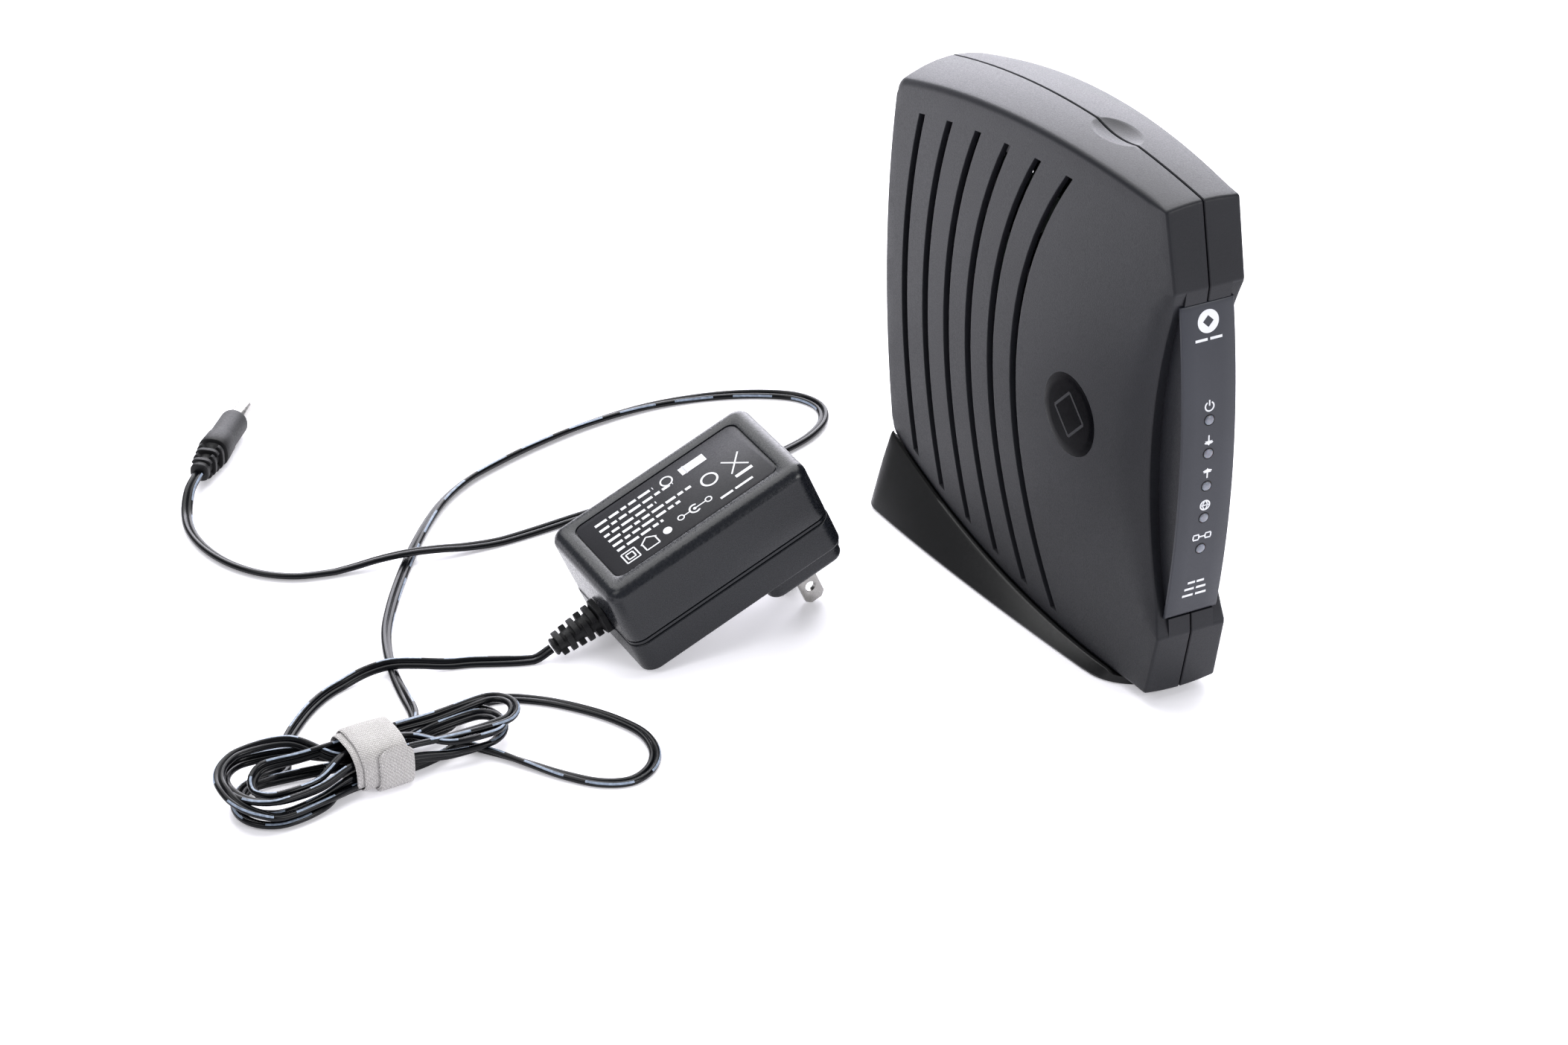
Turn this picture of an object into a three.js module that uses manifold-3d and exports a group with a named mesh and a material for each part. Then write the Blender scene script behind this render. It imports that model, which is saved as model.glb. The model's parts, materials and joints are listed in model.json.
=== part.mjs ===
// Upright cable modem on its stand, with its plug-in power supply, cord and tied hank.
// Millimetres, +Z up, front of the modem towards -Y, origin on the table under the stand.
import * as THREE from 'three';
import { mergeVertices } from 'three/addons/utils/BufferGeometryUtils.js';
import Module from 'manifold-3d';

const wasm = await Module();
wasm.setup();

// ---- driving dimensions -------------------------------------------------------------
const gap = 0.3;                 // clearance between pieces that touch
const seamSlit = 0.4;            // open line between the two half shells
const wall = 2;

const edgeArc = 338;             // radius of the long top and bottom edges, seen from the side
const crestY = -43;              // depth at which both long edges stand furthest apart
const crestZ = 155;
const soleZ = 2.8;
const midZ = (crestZ + soleZ) / 2;
const backCornerY = 67;
const backBulge = 5.5;
const backWidth = 34.4;
const frontWidth = 22.2;
const frontY = -74;
const cornerRound = 1.6;

const chamferTop = { y: -69.4, low: 131.6 };       // upper front chamfer
const chamferLow = { y: -70.2, high: 23.8 };       // lower front chamfer
const ledgeY = -74.7;
const label = { width: 16.8, bottom: 29.5, top: 126.8, y: -73.8, bow: 4.5, thick: 0.9 };
const ridgeHalf = 7.2;           // half width of the ridge that carries the label
const grooveBackY = -65.5;       // deepest point of the scoops beside the ridge

const slots = { count: 6, width: 3.2, midY: 60.8, midStep: 12.2, bow: 8.7, bowStep: 3.25 };
const slotMargin = { top: 9.1, bottom: 4.4 };
const leds = { count: 5, top: 92.7, pitch: 10.2, lens: 2.8 };
const dimple = { y: -25, long: 22, wide: 11, deep: 1.2 };

const stand = { back: 66, front: -62, wide: 53.4, narrow: 34.6, noseY: -46, rim: 0.8 };
const foot = { diameter: 8, thick: 1.2, places: [[20, 52], [13.5, -28]] };

const panel = { y: 66.4, thick: 1.6, halfWidth: 13, bottom: 26, top: 132 };
const jackFace = 68.4;
const board = { x: 3.2, thick: 1.6, front: -61.5, back: 60, bottom: 35.5, top: 120 };

const adapter = { length: 68, width: 41.8, height: 31, seam: 10.5, round: 4.8, wall: 2 };
const adapterLabel = { endMargin: 6.2, sideMargin: 6, depth: 0.9 };
const adapterPlace = new THREE.Vector3(-127.5, 7.3, 0);
const plugBlock = { from: 42, to: 67, deep: 5.5, inset: 1.2 };
const blade = { width: 6.35, thick: 1.5, length: 18, apart: 12.7, x: 56, chamfer: 1.5, hole: 3.2 };
const relief = { length: 17, z: 11.5, root: 4.6, tip: 2.9 };

const cordWidth = 3.6;
const cordRest = 1.9;            // height of the cord's centreline where it lies on the table
const hank = { x: -215.5, y: -3, turn: 3.5, left: 43, right: 42, height: 12.6 };
const strap = { centre: -2, width: 14.4, thick: 1.3, halfInner: 8.6, low: 1.7, high: 12.4 };
const plug = { x: -202.3, y: 165.2, z: 4.9, heading: 49.5, boot: 17, body: 16, barrel: 9.5 };

// ---- looks --------------------------------------------------------------------------
const finish = (color, roughness, metalness = 0) =>
  new THREE.MeshStandardMaterial({ color, roughness, metalness });
const looks = {
  shell: finish('#3a3b40', 0.55),
  stand: finish('#26282a', 0.4),
  label: finish('#2d2f36', 0.45),
  lens: finish('#b9bcc4', 0.3),
  rubber: finish('#161617', 0.9),
  board: finish('#1f5a34', 0.6),
  chip: finish('#1b1b1d', 0.5),
  tin: finish('#b6b8ba', 0.35, 0.9),
  nickel: finish('#c9c4ba', 0.25, 1),
  heatSink: finish('#8a8d91', 0.4, 0.9),
  capacitor: finish('#1f2a4a', 0.4),
  copper: finish('#9a5a2c', 0.35, 0.8),
  screw: finish('#55585c', 0.35, 0.9),
  adapter: finish('#24272d', 0.35),
  adapterLabel: finish('#33343a', 0.6),
  cord: finish('#0e0f11', 0.3),
  strap: finish('#cfccc8', 0.9),
};

const model = new THREE.Group();

function addMesh(name, geometry, material, parent = model) {
  const mesh = new THREE.Mesh(geometry, material);
  mesh.name = name;
  parent.add(mesh);
  return mesh;
}

// ---- solids -------------------------------------------------------------------------
function toSolid(geometry) {
  let clean = geometry.clone();
  clean.deleteAttribute('normal');
  clean.deleteAttribute('uv');
  clean = mergeVertices(clean, 1e-4);
  const mesh = new wasm.Mesh({
    numProp: 3,
    vertProperties: new Float32Array(clean.attributes.position.array),
    triVerts: new Uint32Array(clean.index.array),
  });
  return new wasm.Manifold(mesh);
}

function toGeometry(solid) {
  const mesh = solid.getMesh();
  const geometry = new THREE.BufferGeometry();
  geometry.setAttribute('position', new THREE.BufferAttribute(mesh.vertProperties, 3));
  geometry.setIndex(new THREE.BufferAttribute(mesh.triVerts, 1));
  geometry.computeVertexNormals();
  return geometry;
}

const cut = (solid, ...others) => others.reduce((left, other) => left.subtract(other), solid);
const join = (solid, ...others) => others.reduce((left, other) => left.add(other), solid);

function boxSolid(low, high) {
  const size = high.map((value, axis) => value - low[axis]);
  const geometry = new THREE.BoxGeometry(...size);
  geometry.translate(...low.map((value, axis) => value + size[axis] / 2));
  return toSolid(geometry);
}

// A cylinder from one end to the other along X, Y or Z.
function rodGeometry(axis, from, to, radius, centre, sides = 24) {
  const geometry = new THREE.CylinderGeometry(radius, radius, to - from, sides);
  if (axis === 'x') geometry.rotateZ(-Math.PI / 2);
  if (axis === 'z') geometry.rotateX(Math.PI / 2);
  const middle = (from + to) / 2;
  const places = { x: [middle, ...centre], y: [centre[0], middle, centre[1]], z: [...centre, middle] };
  geometry.translate(...places[axis]);
  return geometry;
}
const rod = (...args) => toSolid(rodGeometry(...args));

function extrude(points, depth) {
  const shape = new THREE.Shape(points.map(([x, y]) => new THREE.Vector2(x, y)));
  return new THREE.ExtrudeGeometry(shape, { depth, bevelEnabled: false });
}

// A side outline given as [y, z] points, pushed along X.
function sideExtrude(points, fromX, toX) {
  const geometry = extrude(points, toX - fromX);
  const turn = new THREE.Matrix4().makeBasis(
    new THREE.Vector3(0, 1, 0), new THREE.Vector3(0, 0, 1), new THREE.Vector3(1, 0, 0));
  geometry.applyMatrix4(turn);
  geometry.translate(fromX, 0, 0);
  return toSolid(geometry);
}

function planExtrude(points, fromZ, toZ) {
  const geometry = extrude(points, toZ - fromZ);
  geometry.translate(0, 0, fromZ);
  return toSolid(geometry);
}

// Closed skin over a row of rings that have the same number of points.
function loft(rings) {
  const count = rings[0].length;
  const positions = rings.flat(2);
  const index = [];
  for (let row = 0; row < rings.length - 1; row += 1) {
    for (let k = 0; k < count; k += 1) {
      const a = row * count + k;
      const b = row * count + (k + 1) % count;
      index.push(a, b, b + count, a, b + count, a + count);
    }
  }
  const last = (rings.length - 1) * count;
  for (let k = 1; k < count - 1; k += 1) {
    index.push(0, k + 1, k, last, last + k, last + k + 1);
  }
  const geometry = new THREE.BufferGeometry();
  geometry.setAttribute('position', new THREE.Float32BufferAttribute(positions, 3));
  geometry.setIndex(index);
  return toSolid(geometry);
}

// Points on the arc through two ends that bulges sideways by the given sagitta.
function arcPoints(from, to, sagitta, steps) {
  const points = [];
  for (let k = 0; k <= steps; k += 1) {
    const t = k / steps;
    const bulge = 4 * sagitta * t * (1 - t);
    const alongX = to[0] - from[0];
    const alongY = to[1] - from[1];
    const length = Math.hypot(alongX, alongY);
    points.push([
      from[0] + alongX * t + bulge * alongY / length,
      from[1] + alongY * t - bulge * alongX / length,
    ]);
  }
  return points;
}

// ---- the modem's outer form ---------------------------------------------------------
function halfWidth(y) {
  const t = (backCornerY + 2 - y) / (backCornerY + 2 - frontY);
  return backWidth / 2 - (backWidth - frontWidth) / 2 * t * t;
}
const edgeDrop = (y) => edgeArc - Math.sqrt(edgeArc ** 2 - (y - crestY) ** 2);
const sideTop = (y) => crestZ - edgeDrop(y);
const sideLow = (y) => soleZ + edgeDrop(y);
const crown = (y) => 1 + 3.8 * Math.max(0, (y + 69) / 137) ** 1.5;

function bodyRing(y, inset) {
  const half = halfWidth(y) - inset;
  const round = Math.max(cornerRound - inset, 0.5);
  const steps = 6;
  const upper = [[half, sideTop(y) - inset - round]];
  for (let k = 0; k <= steps; k += 1) {
    const x = (half - round) * (1 - 2 * k / steps);
    upper.push([x, sideTop(y) - inset + crown(y) * (1 - (x / half) ** 2)]);
  }
  upper.push([-half, sideTop(y) - inset - round]);
  const lower = upper.map(([x, z]) => [-x, 2 * midZ - z]);
  return [...upper, ...lower].map(([x, z]) => [x, y, z]).reverse();
}

function bodyLoft(fromY, toY, inset, rows) {
  const rings = [];
  for (let k = 0; k <= rows; k += 1) {
    rings.push(bodyRing(fromY + (toY - fromY) * k / rows, inset));
  }
  return loft(rings);
}

// Side view of the whole body: chamfers and bowed label seat in front, bulged back.
function bodyOutline(grow) {
  const far = 12;
  return [
    [chamferTop.y - grow, crestZ + far],
    [chamferTop.y - grow, sideTop(chamferTop.y)],
    [ledgeY - grow, chamferTop.low],
    ...arcPoints([label.y - grow, label.top], [label.y - grow, label.bottom], label.bow, 12),
    [ledgeY - grow, chamferLow.high],
    [chamferLow.y - grow, sideLow(chamferLow.y)],
    [chamferLow.y - grow, soleZ - far],
    [backCornerY + grow, soleZ - far],
    ...arcPoints([backCornerY + grow, sideLow(backCornerY)],
      [backCornerY + grow, sideTop(backCornerY)], backBulge, 10),
    [backCornerY + grow, crestZ + far],
  ];
}

function bodyForm(grow) {
  const block = bodyLoft(-84, 76, -grow, 20);
  return block.intersect(sideExtrude(bodyOutline(grow), -40, 40));
}

// The scoops on both sides of the label ridge.
function grooves() {
  const arc = arcPoints([ledgeY + 0.4, chamferTop.low - 1], [ledgeY + 0.4, chamferLow.high + 1],
    ledgeY - grooveBackY, 14);
  const outline = [...arc, [-95, chamferLow.high + 1], [-95, chamferTop.low - 1]];
  return [sideExtrude(outline, -30, -ridgeHalf), sideExtrude(outline, ridgeHalf, 30)];
}

function slotOutline(number) {
  const mid = slots.midY - number * slots.midStep;
  const bow = slots.bow + number * slots.bowStep;
  const ahead = mid - bow - slots.width / 2;
  const behind = ahead + slots.width;
  const high = (y) => sideTop(y) - slotMargin.top;
  const low = (y) => sideLow(y) + slotMargin.bottom;
  return [
    ...arcPoints([behind, low(behind)], [behind, high(behind)], bow, 8),
    ...arcPoints([ahead, high(ahead)], [ahead, low(ahead)], -bow, 8),
  ];
}

const labelFace = (z) => {
  const t = (z - label.bottom) / (label.top - label.bottom);
  return label.y - 4 * label.bow * t * (1 - t);
};
const ledHeights = Array.from({ length: leds.count }, (_, k) => leds.top - k * leds.pitch);

// Strip between two offsets behind the label's face.
function labelStrip(front, back, halfX, overhang) {
  const bottom = label.bottom - overhang;
  const top = label.top + overhang;
  const face = arcPoints([label.y + front, top], [label.y + front, bottom], label.bow, 14);
  const rear = arcPoints([label.y + back, bottom], [label.y + back, top], -label.bow, 14);
  return sideExtrude([...face, ...rear], -halfX, halfX);
}

const boardScrews = [[-50, 108], [-50, 42], [34, 84]];
const panelScrews = [30.2, 126.5];
const panelScrewX = 6;

function shellForm() {
  const cavityFront = -62;
  const cavityBack = 64;
  const cavity = bodyLoft(cavityFront, cavityBack, wall, 12);
  const ridgeCavity = boxSolid([-5.2, -72, 42], [5.2, cavityFront + 1, 104]);
  const seat = boxSolid([-panel.halfWidth - gap, panel.y - gap, panel.bottom - gap],
    [panel.halfWidth + gap, 90, panel.top + gap]);
  const opening = boxSolid([-12.7, cavityBack - 1, 28], [12.7, panel.y, 130]);
  const thumb = toSolid(new THREE.SphereGeometry(1, 20, 12)
    .scale(dimple.wide / 2, dimple.long / 2, dimple.deep)
    .translate(0, dimple.y, crestZ + crown(dimple.y) - edgeDrop(dimple.y)));
  const pipes = ledHeights.map((z) => rod('y', -90, -60, leds.lens / 2 + gap, [0, z], 12));
  const slotCuts = Array.from({ length: slots.count },
    (_, k) => sideExtrude(slotOutline(k), -30, 30));
  return cut(bodyForm(0), cavity, ridgeCavity, seat, opening, thumb, ...pipes, ...slotCuts,
    ...grooves(), labelStrip(-4, label.thick + gap, label.width / 2 + gap, gap));
}

// Screw posts that grow from the right shell's wall.
function rightPosts() {
  const posts = boardScrews.map(([y, z]) => rod('x', board.x + board.thick + gap,
    halfWidth(y) - 1, 3.2, [y, z], 16));
  for (const z of panelScrews) {
    posts.push(rod('y', 50, panel.y - gap, 3.4, [panelScrewX, z], 16));
    posts.push(boxSolid([panelScrewX, 50, z - 1.4], [halfWidth(50) - 1, 63, z + 1.4]));
  }
  return posts;
}

function buildShells() {
  const form = shellForm();
  const far = 60;
  const left = form.intersect(boxSolid([-far, -99, -9], [-seamSlit / 2, 99, 199]));
  const right = form.intersect(boxSolid([seamSlit / 2, -99, -9], [far, 99, 199]));
  const bores = boardScrews.map(([y, z]) => rod('x', 0, 12, 1.6, [y, z], 12));
  for (const z of panelScrews) {
    bores.push(rod('y', 52, 80, 1.8, [panelScrewX, z], 12));
  }
  addMesh('left_shell', toGeometry(left), looks.shell);
  addMesh('right_shell', toGeometry(cut(join(right, ...rightPosts()), ...bores)), looks.shell);
}

function buildLabel() {
  const holes = ledHeights.map((z) => rod('y', -90, -60, leds.lens / 2 + gap, [0, z], 12));
  const strip = labelStrip(0, label.thick, label.width / 2, 0);
  addMesh('front_label', toGeometry(cut(strip, ...holes)), looks.label);
  ledHeights.forEach((z, k) => {
    const face = labelFace(z);
    const tip = face - 0.5;
    const shoulder = face - 0.1;
    const radius = leds.lens / 2;
    const profile = [[0, 0], [radius, 0], [radius, -65.3 - shoulder], [radius * 0.6, -65.3 - tip - 0.1],
      [0, -65.3 - tip]].map(([x, y]) => new THREE.Vector2(x, y));
    const lens = new THREE.LatheGeometry(profile, 16);
    lens.rotateX(Math.PI);
    lens.translate(0, -65.3, z);
    addMesh(`status_lens_${k + 1}`, lens, looks.lens);
    const chip = new THREE.BoxGeometry(4.5, 7, 4);
    chip.translate(0.65, -61.5, z);
    addMesh(`status_led_${k + 1}`, chip, looks.tin);
  });
}

// ---- stand --------------------------------------------------------------------------
function standHalf(y) {
  const t = (stand.back - 2 - y) / (stand.back - 2 - stand.noseY + 2);
  const side = stand.wide / 2 - (stand.wide - stand.narrow) / 2 * Math.max(0, t) ** 1.5;
  if (y >= stand.noseY) return side;
  const nose = (stand.noseY - y) / (stand.noseY - stand.front);
  return stand.narrow / 2 * Math.sqrt(Math.max(0, 1 - nose * nose));
}

// One cross-section of the stand: foot line, rounded toe, flank up to the rim at the body.
function standRing(y, inset) {
  const squeeze = Math.min(1, standHalf(y) / (stand.narrow / 2));
  const backRound = y > stand.back - 8 ? 8 - Math.sqrt(64 - (y - stand.back + 8) ** 2) : 0;
  const foot = standHalf(y) - backRound - inset;
  const lip = (halfWidth(y) + 1.2 - backRound) * squeeze - inset;
  const rim = sideLow(y) + stand.rim - inset * 3;
  const side = [[foot - 0.8, 0], [foot, 0.9], [foot + (lip - foot) * 0.12, rim * 0.3 + 0.6],
    [lip, Math.max(rim, 1.8)]];
  const other = side.map(([x, z]) => [-x, z]).reverse();
  return [...side, ...other].map(([x, z]) => [x, y, z]);
}

function standBlock(fromY, toY, rows, inset) {
  const rings = [];
  for (let k = 0; k <= rows; k += 1) {
    const ease = 0.5 - 0.5 * Math.cos(Math.PI * k / rows);
    rings.push(standRing(fromY + (toY - fromY) * ease, inset).reverse());
  }
  return loft(rings);
}

function buildStand() {
  const block = standBlock(stand.front + 0.6, stand.back - 0.2, 26, 0);
  const hollow = standBlock(14, 60, 6, 2.5).intersect(boxSolid([-15.4, 10, -1], [15.4, 62, 40]));
  const hollowCap = bodyForm(2.6);
  const pockets = [];
  const places = foot.places.flatMap(([x, y]) => [[x, y], [-x, y]]);
  for (const place of places) {
    pockets.push(rod('z', -1, foot.thick + gap, foot.diameter / 2 + gap, place, 20));
  }
  const solid = cut(block, bodyForm(gap), cut(hollow, hollowCap), ...pockets);
  addMesh('stand', toGeometry(solid), looks.stand);
  places.forEach((place, k) => {
    const pad = rodGeometry('z', 0, foot.thick, foot.diameter / 2, place, 20);
    addMesh(`stand_foot_${k + 1}`, pad, looks.rubber);
  });
}

// ---- back panel and its sockets -----------------------------------------------------
const ethernet = { z: 104, high: 13.5, left: -12.3, deep: 21 };
const usb = { z: 88, high: 11, left: -9, deep: 17 };
const powerJack = { z: 37.5, high: 11, left: -6.3, deep: 14 };
const coax = { x: -3, z: 62, thread: 4.75, hex: 5.5, out: 8.6 };
const reset = { x: -1, z: 79, radius: 1.3 };
const boardSide = board.x - gap;

function buildSockets() {
  const jackBack = (deep) => jackFace - deep;
  const ethernetMid = (ethernet.left + boardSide) / 2;
  const ethernetBody = boxSolid([ethernet.left, jackBack(ethernet.deep), ethernet.z],
    [boardSide, jackFace, ethernet.z + ethernet.high]);
  const plugWay = boxSolid([ethernetMid - 5.85, jackFace - 14, ethernet.z + 1.6],
    [ethernetMid + 5.85, jackFace + 1, ethernet.z + 8.6]);
  const latchWay = boxSolid([ethernetMid - 3, jackFace - 14, ethernet.z + 8.5],
    [ethernetMid + 3, jackFace + 1, ethernet.z + 11.8]);
  addMesh('ethernet_jack', toGeometry(cut(ethernetBody, plugWay, latchWay)), looks.chip);

  const usbMid = (usb.left + boardSide) / 2;
  const usbBody = boxSolid([usb.left, jackBack(usb.deep), usb.z], [boardSide, jackFace, usb.z + usb.high]);
  const usbWay = boxSolid([usbMid - 4.3, jackFace - 11, usb.z + 1.4],
    [usbMid + 4.3, jackFace + 1, usb.z + usb.high - 1.4]);
  const tongue = boxSolid([usbMid - 2.8, jackFace - 12, usb.z + 3.8],
    [usbMid + 2.8, jackFace - 1.5, usb.z + 7.2]);
  addMesh('usb_jack', toGeometry(join(cut(usbBody, usbWay), tongue)), looks.tin);

  const powerMid = (powerJack.left + boardSide) / 2;
  const powerZ = powerJack.z + powerJack.high / 2;
  const powerBody = boxSolid([powerJack.left, jackBack(powerJack.deep), powerJack.z],
    [boardSide, jackFace, powerJack.z + powerJack.high]);
  const powerWay = rod('y', jackFace - 10, jackFace + 1, 3.1, [powerMid, powerZ], 20);
  const powerPin = rod('y', jackFace - 11, jackFace - 1, 1.05, [powerMid, powerZ], 10);
  addMesh('power_jack', toGeometry(join(cut(powerBody, powerWay), powerPin)), looks.chip);

  const coaxCentre = [coax.x, coax.z];
  const thread = rod('y', 60, jackFace + coax.out, coax.thread, coaxCentre, 28);
  const socket = rod('y', jackFace + coax.out - 6, jackFace + coax.out + 1, 3.2, coaxCentre, 20);
  const flange = rod('y', panel.y - 2.4, panel.y - gap, 6.6, coaxCentre, 28);
  const pin = rod('y', jackFace + coax.out - 7, jackFace + coax.out - 1.2, 0.6, coaxCentre, 8);
  addMesh('coax_connector', toGeometry(join(cut(join(thread, flange), socket), pin)), looks.nickel);
  const nut = rod('y', panel.y + panel.thick + gap, panel.y + panel.thick + gap + 2.4,
    coax.hex / Math.cos(Math.PI / 6), coaxCentre, 6);
  const nutBore = rod('y', 60, 90, coax.thread + gap, coaxCentre, 28);
  addMesh('coax_nut', toGeometry(cut(nut, nutBore)), looks.nickel);

  const socketGap = 0.35;
  const windows = [
    [ethernet.left, ethernet.z, ethernet.high],
    [usb.left, usb.z, usb.high],
    [powerJack.left, powerJack.z, powerJack.high],
  ].map(([left, z, high]) => boxSolid([left - socketGap, 60, z - socketGap],
    [boardSide + socketGap, 80, z + high + socketGap]));
  windows.push(rod('y', 60, 80, coax.thread + gap, coaxCentre, 28));
  windows.push(rod('y', 60, 80, reset.radius + gap, [reset.x, reset.z], 12));
  for (const z of panelScrews) {
    windows.push(rod('y', 60, 80, 1.8, [panelScrewX, z], 12));
  }
  const plate = boxSolid([-panel.halfWidth, panel.y, panel.bottom],
    [panel.halfWidth, panel.y + panel.thick, panel.top]);
  addMesh('rear_panel', toGeometry(cut(plate, ...windows)), looks.shell);

  const button = rodGeometry('y', 62.4, 67.4, reset.radius, [reset.x, reset.z], 16);
  addMesh('reset_button', button, looks.lens);
  addMesh('reset_switch', toGeometry(boxSolid([-4.2, 57, reset.z - 3], [boardSide, 61.2, reset.z + 3])),
    looks.chip);
}

// ---- circuit board and what sits on it ----------------------------------------------
function screwSolid(axis, head, tip, radius, centre) {
  const inward = Math.sign(tip - head);
  const headEnd = head + inward * 1.8;
  const ends = [Math.min(head, headEnd), Math.max(head, headEnd)];
  const shank = [Math.min(headEnd, tip), Math.max(headEnd, tip)];
  const cap = rod(axis, ...ends, radius * 2, centre, 16);
  const stem = rod(axis, shank[0] - 0.2, shank[1] + 0.2, radius, centre, 12);
  const slotDepth = 0.9;
  const cross = axis === 'x'
    ? boxSolid([head - 0.1, centre[0] - radius * 1.3, centre[1] - 0.4],
      [head + slotDepth, centre[0] + radius * 1.3, centre[1] + 0.4])
    : boxSolid([centre[0] - radius * 1.3, head - slotDepth, centre[1] - 0.4],
      [centre[0] + radius * 1.3, head + 0.1, centre[1] + 0.4]);
  return toGeometry(cut(join(cap, stem), cross));
}

function buildBoard() {
  const plate = boxSolid([board.x, board.front, board.bottom],
    [board.x + board.thick, board.back, board.top]);
  const holes = boardScrews.map(([y, z]) => rod('x', 0, 9, 1.6, [y, z], 12));
  addMesh('main_board', toGeometry(cut(plate, ...holes)), looks.board);
  boardScrews.forEach(([y, z], k) => {
    addMesh(`board_screw_${k + 1}`, screwSolid('x', boardSide - 1.8, 10.4, 1.25, [y, z]), looks.screw);
  });
  panelScrews.forEach((z, k) => {
    const headFace = panel.y + panel.thick + gap + 1.8;
    addMesh(`housing_screw_${k + 1}`, screwSolid('y', headFace, 53, 1.4, [panelScrewX, z]), looks.screw);
  });

  const part = (name, low, high, material) =>
    addMesh(name, toGeometry(boxSolid([boardSide - high[0], low[0], low[1]],
      [boardSide - (low[2] ?? 0), high[1], high[2]])), material);
  part('processor', [-8, 82], [2, 16, 106], looks.chip);
  part('memory_chip', [-38, 88], [1.2, -27, 110], looks.chip);
  part('flash_chip', [-38, 62], [1.2, -24, 74], looks.chip);
  part('ethernet_transformer', [26, 103], [6, 42, 117], looks.chip);
  part('power_inductor', [28, 38], [5, 39, 49], looks.copper);

  const fin = { thick: 1.2, count: 6, tall: 6 };
  const sinkBase = boxSolid([boardSide - 2 - gap - 2, -9, 81], [boardSide - 2 - gap, 17, 107]);
  const fins = Array.from({ length: fin.count }, (_, k) => {
    const y = -9 + k * (26 - fin.thick) / (fin.count - 1);
    return boxSolid([boardSide - 4.2 - gap - fin.tall, y, 81], [boardSide - 4.1, y + fin.thick, 107]);
  });
  addMesh('heat_sink', toGeometry(join(sinkBase, ...fins)), looks.heatSink);

  const can = boxSolid([-10, 14, 50], [boardSide, 59, 75]);
  const canHollow = boxSolid([-9.2, 14.8, 50.8], [boardSide + 1, 58.2, 74.2]);
  const lead = rod('x', -30, -5, 0.8, [36, 62], 8);
  addMesh('tuner_shield', toGeometry(cut(can, canHollow, lead)), looks.tin);

  [[-18, 48], [-30, 48], [12, 42]].forEach(([y, z], k) => {
    const profile = [[0, 0], [3.8, 0], [4, 0.4], [4, 1.4], [3.7, 1.8], [4, 2.2], [4, 11.1], [3.7, 11.5],
      [0, 11.5]].map(([x, h]) => new THREE.Vector2(x, h));
    const capacitor = new THREE.LatheGeometry(profile, 20);
    capacitor.rotateZ(Math.PI / 2);
    capacitor.translate(boardSide, y, z);
    addMesh(`capacitor_${k + 1}`, capacitor, looks.capacitor);
  });
}

// ---- power supply -------------------------------------------------------------------
// It lies propped on its blade tips, so its tilt follows from where the tips are.
const tipDepth = plugBlock.deep + blade.length;
const tipHeel = blade.x - blade.width / 2 + blade.chamfer;
const adapterTilt = Math.atan2(tipDepth, tipHeel);
const supply = new THREE.Group();
supply.position.copy(adapterPlace);
supply.rotation.y = -adapterTilt;
model.add(supply);

function roundedPlan(x0, y0, x1, y1, radius) {
  const shape = new THREE.Shape();
  shape.moveTo(x0 + radius, y0);
  shape.absarc(x1 - radius, y0 + radius, radius, -Math.PI / 2, 0);
  shape.absarc(x1 - radius, y1 - radius, radius, 0, Math.PI / 2);
  shape.absarc(x0 + radius, y1 - radius, radius, Math.PI / 2, Math.PI);
  shape.absarc(x0 + radius, y0 + radius, radius, Math.PI, Math.PI * 1.5);
  return shape.getPoints(5).slice(0, -1).map((point) => [point.x, point.y]);
}

// Rounded box whose upper or lower edge is rolled over; levels are [z, inset].
function rolledBox(size, levels) {
  const rings = levels.map(([z, inset]) => roundedPlan(size.x0 + inset, size.y0 + inset,
    size.x1 - inset, size.y1 - inset, size.round - inset * 0.7).map(([x, y]) => [x, y, z]));
  return loft(rings);
}

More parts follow.
